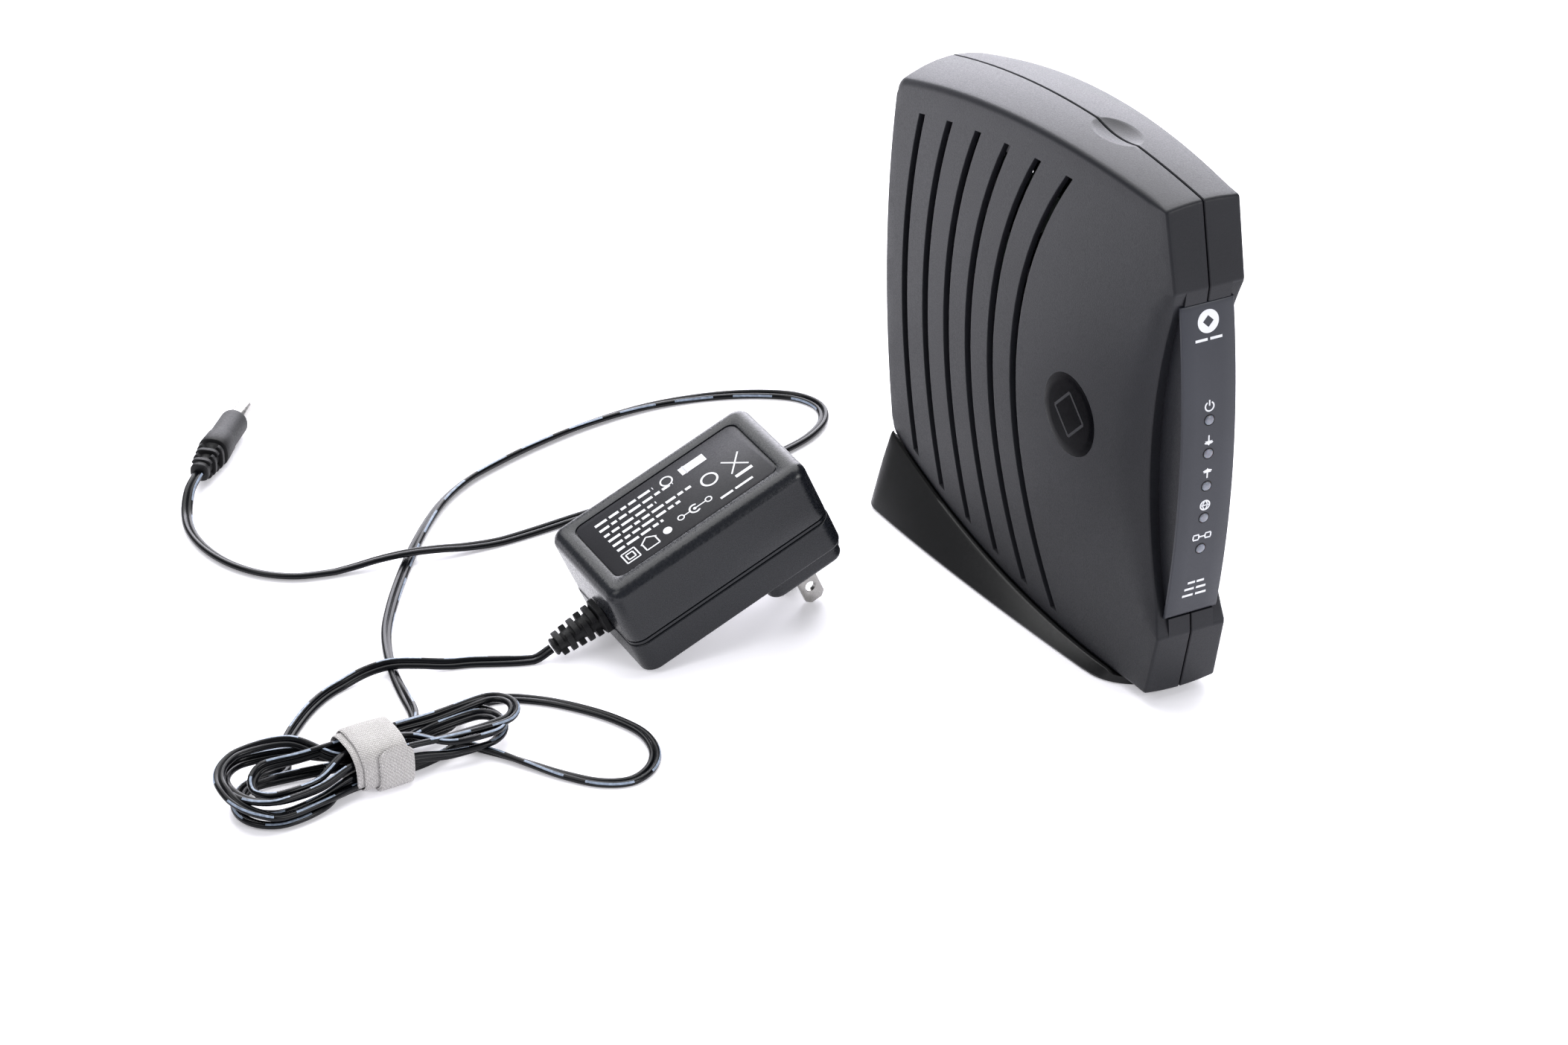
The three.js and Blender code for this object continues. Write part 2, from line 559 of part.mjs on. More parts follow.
function buildAdapter() {
  const { length, width, height, seam, round } = adapter;
  const plan = { x0: 0, y0: 0, x1: length, y1: width, round };
  const inner = { x0: adapter.wall, y0: adapter.wall, x1: length - adapter.wall, y1: width - adapter.wall,
    round: round - adapter.wall * 0.75 };
  const top = rolledBox(plan, [[seam + gap, 0.4], [seam + 1.6, 0.4], [seam + 1.9, 0], [height - 3, 0],
    [height - 1, 0.8], [height, 2.8]]);
  const topHollow = rolledBox(inner, [[seam - 1, 0], [height - adapter.wall - 0.4, 0]]);
  const { endMargin, sideMargin, depth } = adapterLabel;
  const inlay = boxSolid([endMargin, sideMargin, height - depth],
    [length - endMargin, width - sideMargin, height + 1]);
  const reliefBore = rod('x', -5, 5, 3.2, [width / 2, relief.z], 20);
  addMesh('supply_upper_case', toGeometry(cut(top, topHollow, inlay, reliefBore)), looks.adapter, supply);

  const low = rolledBox(plan, [[0, 0], [seam, 0]]);
  const lowHollow = rolledBox(inner, [[adapter.wall, 0], [seam + 1, 0]]);
  const block = rolledBox({ x0: plugBlock.from, y0: plugBlock.inset, x1: plugBlock.to,
    y1: width - plugBlock.inset, round: 4 }, [[-plugBlock.deep, 0.8], [-plugBlock.deep + 1, 0], [1, 0]]);
  const bladeBores = [-1, 1].map((side) => {
    const y = width / 2 + side * blade.apart / 2;
    return boxSolid([blade.x - blade.width / 2 - gap, y - blade.thick / 2 - gap, -9],
      [blade.x + blade.width / 2 + gap, y + blade.thick / 2 + gap, 5]);
  });
  addMesh('supply_lower_case',
    toGeometry(cut(join(cut(low, lowHollow), block), ...bladeBores, reliefBore)), looks.adapter, supply);

  const sticker = boxSolid([endMargin + 0.3, sideMargin + 0.3, height - 0.6],
    [length - endMargin - 0.3, width - sideMargin - 0.3, height - 0.1]);
  addMesh('supply_label', toGeometry(sticker), looks.adapterLabel, supply);

  ['near', 'far'].forEach((side, k) => {
    const y = width / 2 + (k === 0 ? -1 : 1) * blade.apart / 2;
    const half = blade.width / 2;
    const outline = [[blade.x - half, 4], [blade.x - half, blade.chamfer - tipDepth],
      [tipHeel, -tipDepth], [blade.x + half - blade.chamfer, -tipDepth],
      [blade.x + half, blade.chamfer - tipDepth], [blade.x + half, 4]];
    const plate = extrude(outline, blade.thick);
    plate.rotateX(Math.PI / 2);
    plate.translate(0, y + blade.thick / 2, 0);
    const hole = rod('y', 0, 40, blade.hole / 2, [blade.x, -plugBlock.deep - 12.5], 16);
    addMesh(`${side}_blade`, toGeometry(cut(toSolid(plate), hole)), looks.nickel, supply);
  });

  const supplyPart = (name, low3, high3, material) =>
    addMesh(name, toGeometry(boxSolid(low3, high3)), material, supply);
  supplyPart('supply_board', [5, 4, 4.6], [63, 37.8, 6.2], looks.board);
  supplyPart('supply_transformer', [24, 10, 6.5], [42, 31, 24], looks.copper);
  const can = rodGeometry('z', 6.5, 25, 5, [53, 21], 20);
  addMesh('supply_capacitor', can, looks.capacitor, supply);

  const ribs = 5;
  const profile = [[0, 0], [relief.root, 0], [relief.root, 1.6]];
  for (let k = 0; k < ribs; k += 1) {
    const start = 2.2 + k * (relief.length - 4.4) / ribs;
    const radius = relief.root + (relief.tip - relief.root) * (k + 1) / (ribs + 1);
    profile.push([radius - 1, start], [radius - 1, start + 1.1],
      [radius, start + 1.1], [radius, start + 2.4]);
  }
  profile.push([relief.tip, relief.length], [0, relief.length]);
  const sleeve = new THREE.LatheGeometry(profile.map(([x, y]) => new THREE.Vector2(x, y)), 12);
  sleeve.rotateZ(Math.PI / 2);
  sleeve.translate(-gap, width / 2, relief.z);
  addMesh('strain_relief', sleeve, looks.cord, supply);
}

// ---- cord ---------------------------------------------------------------------------
// Routes are [x, y] or [x, y, z]; without z the cord lies on the table.
const pastRelief = (distance) =>
  new THREE.Vector3(-gap - relief.length - distance, adapter.width / 2, relief.z)
    .applyAxisAngle(new THREE.Vector3(0, 1, 0), -adapterTilt).add(adapterPlace).toArray();
const supplyRun = [
  pastRelief(gap + 0.1), pastRelief(1.6), [-153, 28.6, 2.4], [-158, 30], [-163.5, 32.3],
  [-170, 35.2, 2.1], [-178, 37.6, 3.2],
  [-185, 39.8, 4.9], [-192, 41.6, 6.1], [-199, 42.4, 4.9], [-206, 41.4, 3.1], [-213, 38.6, 2.1],
  [-220, 33.8], [-226, 28.2], [-231, 22.6], [-235, 16, 2.4], [-238, 8, 3.4],
];
const looseLoop = [
  [-190, 6, 5], [-184.5, 11.4, 4], [-178, 14.8, 2.6], [-169.5, 14.2], [-161.3, 9], [-152.6, -0.4],
  [-146, -10.6], [-142.6, -20.4], [-144, -30.1], [-149, -36.6], [-155.8, -39.2], [-163.2, -36.4],
  [-170.5, -28.8], [-177.2, -19.1], [-184, -9.4], [-190, -3, 2.4],
];
const plugRun = [
  [-205, 3, 3], [-199, 10, 2.6], [-195.4, 18], [-193.8, 27.4], [-192.4, 38], [-189.6, 49.4],
  [-185.4, 60.7], [-179, 72.4], [-170.8, 85.2], [-161.6, 98.2], [-150.4, 112], [-140, 122.4], [-128.7, 130],
  [-116, 135.3], [-101.9, 139.9], [-81.7, 144.6], [-60.3, 146.3], [-41.2, 143.4], [-25, 136.6],
  [-16.2, 129.6], [-13.2, 121.6], [-16, 113.4], [-24, 106.6], [-35, 102.2], [-52, 98.6], [-72, 96.6],
  [-92, 95.8], [-108, 95], [-124, 93.4], [-136, 92.8, 2.1], [-146, 93.3, 3.4], [-154.5, 94.2, 5.2],
  [-163.5, 95.4, 6.1], [-172.5, 97, 5], [-180, 98.2, 3.2], [-188, 99.4, 2.1], [-197, 102], [-205, 108],
  [-211, 117], [-214.4, 128.6], [-214.6, 140.4], [-211.8, 151, 2.6], [-207.9, 158.4, 4],
  [plug.x - 1.6, plug.y - 1.9, plug.z], [plug.x, plug.y, plug.z],
];

function routeCurve(route) {
  const points = route.map(([x, y, z = cordRest]) => new THREE.Vector3(x, y, z));
  return new THREE.CatmullRomCurve3(points, false, 'centripetal');
}

function cordTube(route, steps) {
  const sides = 8;
  const section = Array.from({ length: sides }, (_, k) => {
    const angle = 2 * Math.PI * (k + 0.5) / sides;
    return new THREE.Vector2(Math.cos(angle), Math.sin(angle)).multiplyScalar(cordWidth / 2);
  });
  return new THREE.ExtrudeGeometry(new THREE.Shape(section),
    { steps, extrudePath: routeCurve(route), bevelEnabled: false });
}

// Plan of the tied hank: two open lobes and a waist where the strap holds it.
function hankSolid(grow) {
  const lobes = [[-1, 0], [-0.86, 10.2], [-0.6, 13.4], [-0.36, 11], [-0.19, 8.4], [0.19, 8.4],
    [0.4, 9], [0.68, 9.8], [0.9, 7.4], [1, 0]];
  const curve = new THREE.SplineCurve(lobes.map(([t, half]) => {
    const reach = t < 0 ? hank.left : hank.right;
    return new THREE.Vector2(t * (reach + grow), half);
  }));
  const side = curve.getPoints(22).map((point) => [point.x, Math.max(0, point.y) + grow]);
  const mirrored = side.slice(1, -1).map(([x, y]) => [x, -y]).reverse();
  side[0][1] = 0;
  side[side.length - 1][1] = 0;
  const body = planExtrude([...side, ...mirrored], 0.2 - grow, 0.2 + hank.height + grow);
  const reach = strap.width / 2 + 0.6 - grow;
  const waistSide = strap.halfInner - strap.thick - 0.2 + grow;
  const far = 40;
  const start = strap.centre - reach;
  const end = strap.centre + reach;
  return cut(body,
    boxSolid([start, -far, -1], [end, far, strap.low - grow]),
    boxSolid([start, -far, strap.high - 0.6 + grow], [end, far, far]),
    boxSolid([start, waistSide + 1, -1], [end, far, far]),
    boxSolid([start, -far, -1], [end, -waistSide - 1, far]));
}

function placeAtHank(solidOrGeometry) {
  const geometry = solidOrGeometry.isBufferGeometry ? solidOrGeometry : toGeometry(solidOrGeometry);
  geometry.rotateZ(THREE.MathUtils.degToRad(hank.turn));
  geometry.translate(hank.x, hank.y, 0);
  return geometry;
}

function buildCord() {
  addMesh('cord_hank', placeAtHank(hankSolid(0)), looks.cord);
  const clear = toSolid(placeAtHank(hankSolid(gap)));
  const runs = { cord_supply_run: [supplyRun, 60], cord_loose_loop: [looseLoop, 50],
    cord_plug_run: [plugRun, 80] };
  for (const [name, [route, steps]] of Object.entries(runs)) {
    const pieces = toSolid(cordTube(route, steps)).subtract(clear).decompose();
    pieces.sort((a, b) => b.volume() - a.volume());
    addMesh(name, toGeometry(pieces[0]), looks.cord);
  }
  const start = strap.centre - strap.width / 2;
  const end = strap.centre + strap.width / 2;
  const outer = strap.halfInner + strap.thick - 0.4;
  const band = boxSolid([start, -outer, 0.2], [end, outer, strap.high + strap.thick]);
  const opening = boxSolid([start - 1, -strap.halfInner + 0.2, strap.low - gap],
    [end + 1, strap.halfInner - 0.2, strap.high - 0.2]);
  addMesh('hank_strap', placeAtHank(cut(band, opening)), looks.strap);
}

function buildPlug() {
  const group = new THREE.Group();
  group.position.set(plug.x, plug.y, plug.z);
  group.rotation.z = THREE.MathUtils.degToRad(plug.heading) - Math.PI / 2;
  model.add(group);
  const bootEnd = gap + plug.boot;
  const bodyEnd = bootEnd + plug.body;
  const profile = [[0, gap], [3.1, gap], [3.1, gap + 2.4]];
  const ribs = 4;
  for (let k = 0; k < ribs; k += 1) {
    const start = gap + 3.2 + k * 2.4;
    profile.push([2.6, start - 0.4], [2.6, start + 0.4], [3.3 + k * 0.25, start + 0.4],
      [3.3 + k * 0.25, start + 1.5]);
  }
  profile.push([4.7, bootEnd - 3.4], [4.8, bootEnd], [4.4, bootEnd + 1.2], [4.4, bodyEnd - 0.6],
    [4, bodyEnd], [0, bodyEnd]);
  const moulding = new THREE.LatheGeometry(profile.map(([x, y]) => new THREE.Vector2(x, y)), 16);
  addMesh('plug_moulding', moulding, looks.cord, group);
  const barrel = rod('y', bodyEnd + gap, bodyEnd + plug.barrel, 2.75, [0, 0], 24);
  const bore = rod('y', bodyEnd + 1.5, bodyEnd + 30, 1.1, [0, 0], 16);
  addMesh('plug_barrel', toGeometry(cut(barrel, bore)), looks.nickel, group);
}

buildShells();
buildLabel();
buildStand();
buildSockets();
buildBoard();
buildAdapter();
buildCord();
buildPlug();

export default model;
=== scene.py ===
"""Looks of an upright cable modem with its stand, plug-in power supply and tied cord.

The builders below work in millimetres in the frame of the part; mesh_piece() turns them into metres.
"""
import json
import math

import bmesh
import bpy
import numpy as np
from mathutils import Matrix, Vector
from mathutils.geometry import delaunay_2d_cdt


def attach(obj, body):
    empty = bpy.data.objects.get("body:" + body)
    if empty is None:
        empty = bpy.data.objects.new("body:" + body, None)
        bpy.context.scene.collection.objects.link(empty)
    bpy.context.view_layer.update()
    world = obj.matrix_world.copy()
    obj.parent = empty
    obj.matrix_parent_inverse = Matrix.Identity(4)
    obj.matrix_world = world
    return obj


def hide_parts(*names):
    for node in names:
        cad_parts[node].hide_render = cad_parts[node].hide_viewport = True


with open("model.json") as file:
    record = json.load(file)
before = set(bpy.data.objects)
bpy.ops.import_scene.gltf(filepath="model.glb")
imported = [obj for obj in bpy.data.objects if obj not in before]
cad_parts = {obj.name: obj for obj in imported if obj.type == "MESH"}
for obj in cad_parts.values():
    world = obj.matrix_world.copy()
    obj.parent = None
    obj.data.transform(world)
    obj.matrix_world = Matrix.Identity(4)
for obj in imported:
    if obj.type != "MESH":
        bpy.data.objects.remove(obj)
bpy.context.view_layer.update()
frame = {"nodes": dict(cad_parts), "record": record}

MM = 0.001

# ---- driving dimensions of the modem -------------------------------------------------
EDGE_ARC = 338.0
CREST_Y = -43.0
CREST_Z = 155.0
SOLE_Z = 2.8
MID_Z = (CREST_Z + SOLE_Z) / 2
BACK_Y = 67.0
BACK_BULGE = 5.5
BACK_HALF = 17.2
FRONT_HALF = 11.1
FRONT_Y = -74.0
UPPER_CHAMFER = (-69.4, 131.6)
LOWER_CHAMFER = (-70.2, 23.8)
LEDGE_Y = -74.7
LABEL_Y = -73.8
LABEL_BOW = 4.5
LABEL_LOW = 29.5
LABEL_HIGH = 126.8
LABEL_HALF = 8.4
LABEL_THICK = 0.9
RIDGE_HALF = 7.2
GROOVE_DEPTH = 9.2
SHOULDER_DEPTH = 23.0
SHOULDER_DIP = 1.3
SEAM_HALF = 0.2
WALL = 2.0
SLOT_COUNT = 6
SLOT_WIDTH = 3.2
SLOT_ROUND = 0.15
SLOT_MID_Y = 60.8
SLOT_STEP = 12.2
SLOT_BOW = 8.7
SLOT_BOW_STEP = 3.25
SLOT_TOP_MARGIN = 9.1
SLOT_LOW_MARGIN = 4.4
LED_HEIGHTS = [92.7 - 10.2 * k for k in range(5)]
DIMPLE_Y = -25.5
DIMPLE_HALF_LONG = 10.5
DIMPLE_HALF_WIDE = 5.5
DIMPLE_DEEP = 1.5
RECESS_HALF = 13.3
RECESS_LOW = 25.7
RECESS_HIGH = 132.3
RECESS_Y = 66.1
DISC_Y = -29.2
DISC_Z = 73.8
DISC_RADIUS = 12.3
LENS_RADIUS = 1.4
COAX_X = -3.0
COAX_Z = 62.0
COAX_START = 68.35
COAX_END = 77.0
STAND_BACK = 66.0
STAND_FRONT = -62.0
STAND_HALF_BACK = 27.6
STAND_HALF_FRONT = 17.3
NOSE_Y = -46.0

# ---- driving dimensions of the power supply ------------------------------------------
SUPPLY_PLACE = Vector((-127.5, 7.3, 0.0))
SUPPLY_LENGTH = 68.0
SUPPLY_WIDTH = 41.8
SUPPLY_HEIGHT = 31.0
SUPPLY_SEAM = 10.5
CASE_CORNER = 4.6
CASE_ROLL = 3.4
PLATE_THICK = 0.25
BLOCK_FROM = 42.0
BLOCK_TO = 67.0
BLOCK_DEEP = 5.5
BLADE_LONG = 18.0
BLADE_X = 56.0
BLADE_WIDE = 6.35
BLADE_THICK = 1.5
BLADE_APART = 12.7
BLADE_CHAMFER = 1.5
SUPPLY_TILT = math.atan2(BLOCK_DEEP + BLADE_LONG, BLADE_X - BLADE_WIDE / 2 + BLADE_CHAMFER)
RELIEF_LONG = 17.0
RELIEF_Z = 11.5

# ---- driving dimensions of the plug, the cord and its hank, and the strap -------------
PLUG_PLACE = Vector((-202.3, 165.2, 4.9))
PLUG_HEADING = math.radians(49.5)
HANK_PLACE = Vector((-215.5, -3.0, 0.0))
HANK_TURN = math.radians(3.5)
CORD_THICK = 1.8
CONDUCTOR_OUT = 0.83
REST = 1.9
STRAP_HALF = 9.3
STRAP_LOW = 0.3
STRAP_HIGH = 13.9


# ---- camera, light and floor ---------------------------------------------------------
def aim(holder, target):
    """Puts a camera or a light in the scene, turned to face the target."""
    look = Vector(target) - holder.location
    holder.rotation_euler = look.to_track_quat("-Z", "Y").to_euler()
    bpy.context.scene.collection.objects.link(holder)


def make_camera():
    camera = bpy.data.cameras.new("camera")
    camera.lens = 102.8
    camera.sensor_width = 36
    camera.clip_end = 50
    holder = bpy.data.objects.new("camera", camera)
    holder.location = (-0.5846, -0.9567, 0.6847)
    aim(holder, (-0.1011, -0.0243, 0.06))
    bpy.context.scene.camera = holder


def area_light(name, place, target, size, power, colour=(1, 1, 1)):
    light = bpy.data.lights.new(name, "AREA")
    light.shape = "RECTANGLE"
    light.size, light.size_y = size
    light.energy = power
    light.color = colour
    holder = bpy.data.objects.new(name, light)
    holder.location = place
    aim(holder, target)


def make_stage():
    world = bpy.data.worlds.new("studio")
    bpy.context.scene.world = world
    world.use_nodes = True
    put(world.node_tree.nodes["Background"], {"Color": (0.93, 0.95, 1.0, 1), "Strength": 0.4})
    area_light("overhead", (0.2, 0.7, 1.6), (-0.05, 0.0, 0.05), (2.4, 2.0), 54)
    area_light("left_window", (-1.5, -0.3, 1.5), (-0.05, 0.0, 0.08), (1.0, 1.0), 9)
    area_light("front_fill", (0.7, -1.4, 0.8), (0, 0, 0.08), (0.7, 0.7), 12)
    area_light("back_window", (0.85, 1.8, 0.8), (-0.05, 0, 0.1), (1.8, 1.3), 52, (0.93, 0.92, 1.0))
    floor = bpy.data.meshes.new("floor")
    reach = 6
    floor.from_pydata([(-reach, -reach, 0), (reach, -reach, 0), (reach, reach, 0), (-reach, reach, 0)],
                      [], [(0, 1, 2, 3)])
    material, _, _, shader = node_material("floor")
    put(shader, {"Base Color": (0.9, 0.89, 0.93, 1), "Emission Color": (0.98, 0.97, 1.0, 1),
                 "Emission Strength": 0.3, "Roughness": 0.7, "Specular IOR Level": 0.2})
    floor.materials.append(material)
    holder = bpy.data.objects.new("floor", floor)
    bpy.context.scene.collection.objects.link(holder)
    view = bpy.context.scene.view_settings
    view.view_transform = "Standard"
    view.look = "None"


# ---- materials -----------------------------------------------------------------------
def node_material(name):
    material = bpy.data.materials.new(name)
    material.use_nodes = True
    tree = material.node_tree
    return material, tree.nodes, tree.links, tree.nodes["Principled BSDF"]


def put(node, values):
    """Sets the values of a node's own sockets, by socket name or number."""
    for name, value in values.items():
        node.inputs[name].default_value = value


def math_node(nodes, links, kind, first, second):
    node = nodes.new("ShaderNodeMath")
    node.operation = kind
    for socket, value in zip(node.inputs, (first, second)):
        if isinstance(value, (int, float)):
            socket.default_value = value
        else:
            links.new(value, socket)
    return node.outputs[0]


# Each of the next three adds nodes to a material and gives back the socket with their result.
def noise(nodes, links, scale, detail=2.0):
    place = nodes.new("ShaderNodeTexCoord")
    texture = nodes.new("ShaderNodeTexNoise")
    put(texture, {"Scale": scale, "Detail": detail})
    links.new(place.outputs["Object"], texture.inputs["Vector"])
    return texture.outputs["Fac"]


def spread(nodes, links, value, low, high, from_low=0.3, from_high=0.7):
    ranger = nodes.new("ShaderNodeMapRange")
    put(ranger, {"From Min": from_low, "From Max": from_high, "To Min": low, "To Max": high})
    links.new(value, ranger.inputs["Value"])
    return ranger.outputs["Result"]


def tint(nodes, links, value, first, second):
    mix = nodes.new("ShaderNodeMix")
    mix.data_type = "RGBA"
    put(mix, {6: (*first, 1), 7: (*second, 1)})
    links.new(value, mix.inputs[0])
    return mix.outputs[2]


def bump(nodes, links, shader, height, strength, distance):
    node = nodes.new("ShaderNodeBump")
    put(node, {"Strength": strength, "Distance": distance})
    links.new(height, node.inputs["Height"])
    links.new(node.outputs["Normal"], shader.inputs["Normal"])


GRAIN_DROP = 0.00012


def moulded(name, colour, rough, grain, depth, vary=0.12, specular=0.5, metal=0.0):
    """Moulded or plated surface: grain bump, patchy gloss and a slight drift of colour."""
    material, nodes, links, shader = node_material(name)
    patch = noise(nodes, links, 38, 3)
    darker = [part * (1 - vary) for part in colour]
    lighter = [part * (1 + vary) for part in colour]
    colour_out = tint(nodes, links, spread(nodes, links, patch, 0, 1), darker, lighter)
    links.new(colour_out, shader.inputs["Base Color"])
    fine = noise(nodes, links, grain, 2)
    links.new(spread(nodes, links, fine, *rough), shader.inputs["Roughness"])
    put(shader, {"Specular IOR Level": specular, "Metallic": metal})
    bump(nodes, links, shader, fine, depth, GRAIN_DROP)
    return material


def cord_material():
    """Black vinyl with a broken pale line printed along one conductor."""
    material, nodes, links, shader = node_material("cord_vinyl")
    uv = nodes.new("ShaderNodeUVMap")
    uv.uv_map = "along"
    split = nodes.new("ShaderNodeSeparateXYZ")
    links.new(uv.outputs["UV"], split.inputs[0])

    def work_out(kind, first, second):
        return math_node(nodes, links, kind, first, second)

    around = work_out("ABSOLUTE", work_out("SUBTRACT", split.outputs["Y"], 0.27), 0)
    band = work_out("LESS_THAN", around, 0.032)
    cycle = work_out("FRACT", work_out("DIVIDE", split.outputs["X"], 0.019), 0)
    dash = work_out("LESS_THAN", cycle, 0.66)
    wear = spread(nodes, links, noise(nodes, links, 900, 2), 0.55, 1.0)
    print_mask = work_out("MULTIPLY", work_out("MULTIPLY", band, dash), wear)
    colour = tint(nodes, links, print_mask, (0.002, 0.0024, 0.0035), (0.3, 0.36, 0.46))
    links.new(colour, shader.inputs["Base Color"])
    links.new(spread(nodes, links, noise(nodes, links, 260, 2), 0.2, 0.28), shader.inputs["Roughness"])
    shader.inputs["Specular IOR Level"].default_value = 0.2
    bump(nodes, links, shader, noise(nodes, links, 500, 2), 0.03, 0.0002)
    return material


def woven_material():
    """Pale woven tape: crossing ribs with a fuzzy surface."""
    material, nodes, links, shader = node_material("woven_tape")
    place = nodes.new("ShaderNodeTexCoord")

    def ribs(direction, scale):
        wave = nodes.new("ShaderNodeTexWave")
        wave.bands_direction = direction
        put(wave, {"Scale": scale, "Distortion": 2.2, "Detail": 2, "Detail Scale": 3})
        links.new(place.outputs["Object"], wave.inputs["Vector"])
        return wave.outputs["Fac"]

    weave = math_node(nodes, links, "MULTIPLY", ribs("X", 700), ribs("DIAGONAL", 560))
    total = math_node(nodes, links, "ADD", weave, noise(nodes, links, 3000, 3))
    colour = tint(nodes, links, spread(nodes, links, total, 0, 1, 0.3, 1.2),
                  (0.3, 0.285, 0.28), (0.66, 0.64, 0.63))
    links.new(colour, shader.inputs["Base Color"])
    put(shader, {"Roughness": 0.95, "Sheen Weight": 0.4, "Specular IOR Level": 0.15})
    bump(nodes, links, shader, total, 0.7, 0.0004)
    return material


def lens_material():
    material, nodes, links, shader = node_material("frosted_lens")
    patch = noise(nodes, links, 700, 2)
    colour = tint(nodes, links, spread(nodes, links, patch, 0, 1), (0.13, 0.14, 0.17), (0.2, 0.21, 0.25))
    links.new(colour, shader.inputs["Base Color"])
    put(shader, {"Subsurface Weight": 0.3, "Subsurface Scale": 0.0008, "Roughness": 0.3})
    return material


# ---- mesh helpers: a shape is a list of points and a list of faces -------------------
def metres(point):
    return tuple(value * MM for value in point)


def mesh_piece(name, shape, look, body, replaced=(), angle=32, weld=True):
    """Makes a visible piece from points in millimetres; edges sharper than angle stay hard."""
    points, faces = shape
    mesh = bpy.data.meshes.new(name)
    mesh.from_pydata([metres(point) for point in points], [], faces)
    work = bmesh.new()
    work.from_mesh(mesh)
    if weld:
        bmesh.ops.remove_doubles(work, verts=work.verts, dist=2e-6)
        bmesh.ops.dissolve_degenerate(work, edges=work.edges, dist=1e-6)
    bmesh.ops.recalc_face_normals(work, faces=work.faces)
    work.to_mesh(mesh)
    work.free()
    mesh.shade_smooth()
    mesh.set_sharp_from_angle(angle=math.radians(angle))
    piece = bpy.data.objects.new(name, mesh)
    bpy.context.scene.collection.objects.link(piece)
    mesh.materials.append(looks[look])
    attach(piece, body)
    if replaced:
        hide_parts(*replaced)
    return piece


def merge(*shapes):
    """One shape from several."""
    points, faces = [], []
    for more_points, more_faces in shapes:
        base = len(points)
        points.extend(more_points)
        faces.extend([tuple(base + k for k in face) for face in more_faces])
    return points, faces


def skin(loops, caps=True):
    """Faces between loops of equal count, with the first and the last loop filled if caps."""
    count = len(loops[0])
    points = [point for loop in loops for point in loop]
    faces = []
    for row in range(len(loops) - 1):
        for k in range(count):
            after = (k + 1) % count
            start = row * count
            faces.append((start + k, start + after, start + count + after, start + count + k))
    if caps:
        faces.append(tuple(range(count - 1, -1, -1)))
        faces.append(tuple(range(len(points) - count, len(points))))
    return points, faces


def polar(radius, angle, x=0.0, y=0.0):
    return (x + radius * math.cos(angle), y + radius * math.sin(angle))


def moved(shape, place):
    points, faces = shape
    return [place(point) for point in points], faces


def placer(matrix):
    return lambda point: tuple(matrix @ Vector(point))


at_supply = placer(Matrix.Translation(SUPPLY_PLACE) @ Matrix.Rotation(-SUPPLY_TILT, 4, "Y"))
at_plug = placer(Matrix.Translation(PLUG_PLACE) @ Matrix.Rotation(PLUG_HEADING, 4, "Z"))
at_hank = placer(Matrix.Translation(HANK_PLACE) @ Matrix.Rotation(HANK_TURN, 4, "Z"))


def smooth(value):
    """Eases from 0 to 1, level at both ends."""
    value = min(1.0, max(0.0, value))
    return value * value * (3 - 2 * value)


# ---- form of the modem's body --------------------------------------------------------
def half_width(y):
    """Half thickness of the body, which thins toward its front."""
    t = (BACK_Y + 2 - y) / (BACK_Y + 2 - FRONT_Y)
    return BACK_HALF - (BACK_HALF - FRONT_HALF) * t * t


def arch(x, y):
    """Share of the crown that is left at x: all of it at the seam, none at the side face."""
    return max(0.0, 1 - (x / half_width(y)) ** 2)


def near_ends(z):
    """0 at mid height, rising to 1 toward the top and the bottom."""
    return smooth((abs(z - MID_Z) - 45) / 12)


def edge_drop(y):
    return EDGE_ARC - math.sqrt(EDGE_ARC ** 2 - (y - CREST_Y) ** 2)


def side_top(y):
    return CREST_Z - edge_drop(y)


def side_low(y):
    return SOLE_Z + edge_drop(y)


def crown(y):
    """Rise of the top and bottom faces along the seam."""
    return 1 + 3.8 * max(0.0, (y + 69) / 137) ** 1.5


def back_y(z):
    reach = side_top(BACK_Y) - MID_Z
    return BACK_Y + BACK_BULGE * (1 - ((z - MID_Z) / reach) ** 2)


def bowed(z, low, high, depth):
    t = min(1.0, max(0.0, (z - low) / (high - low)))
    return depth * 4 * t * (1 - t)


def label_face(z):
    return LABEL_Y - bowed(z, LABEL_LOW, LABEL_HIGH, LABEL_BOW)


def crease_y(z, depth):
    """Line on the side face, bowed back by depth at mid height."""
    return LEDGE_Y + bowed(z, LOWER_CHAMFER[1], UPPER_CHAMFER[1], depth)


def side_x(y, z):
    """Half width of the body at a point of its side face, with the soft dip beside the front ridge."""
    inner = crease_y(z, GROOVE_DEPTH)
    outer = crease_y(z, SHOULDER_DEPTH)
    near = 0.0
    if outer - inner > 0.01:
        near = min(1.0, max(0.0, (outer - y) / (outer - inner)))
    fade = min(1.0, (outer - inner) / 4)
    return half_width(y) - SHOULDER_DIP * near * near * fade


class Corner:
    """A point of the side outline.

    ridge is its (y, z) near the seam and side further out, beyond x = reach; lift is its share of the
    crown, round_by the radius of an outline corner and edge the rounding into the side face.
    """

    def __init__(self, ridge, side=None, lift=0.0, round_by=0.0, edge=0.7, reach=RIDGE_HALF):
        self.ridge = ridge
        self.side = side or ridge
        self.lift = lift
        self.round_by = round_by
        self.edge = edge
        self.reach = reach


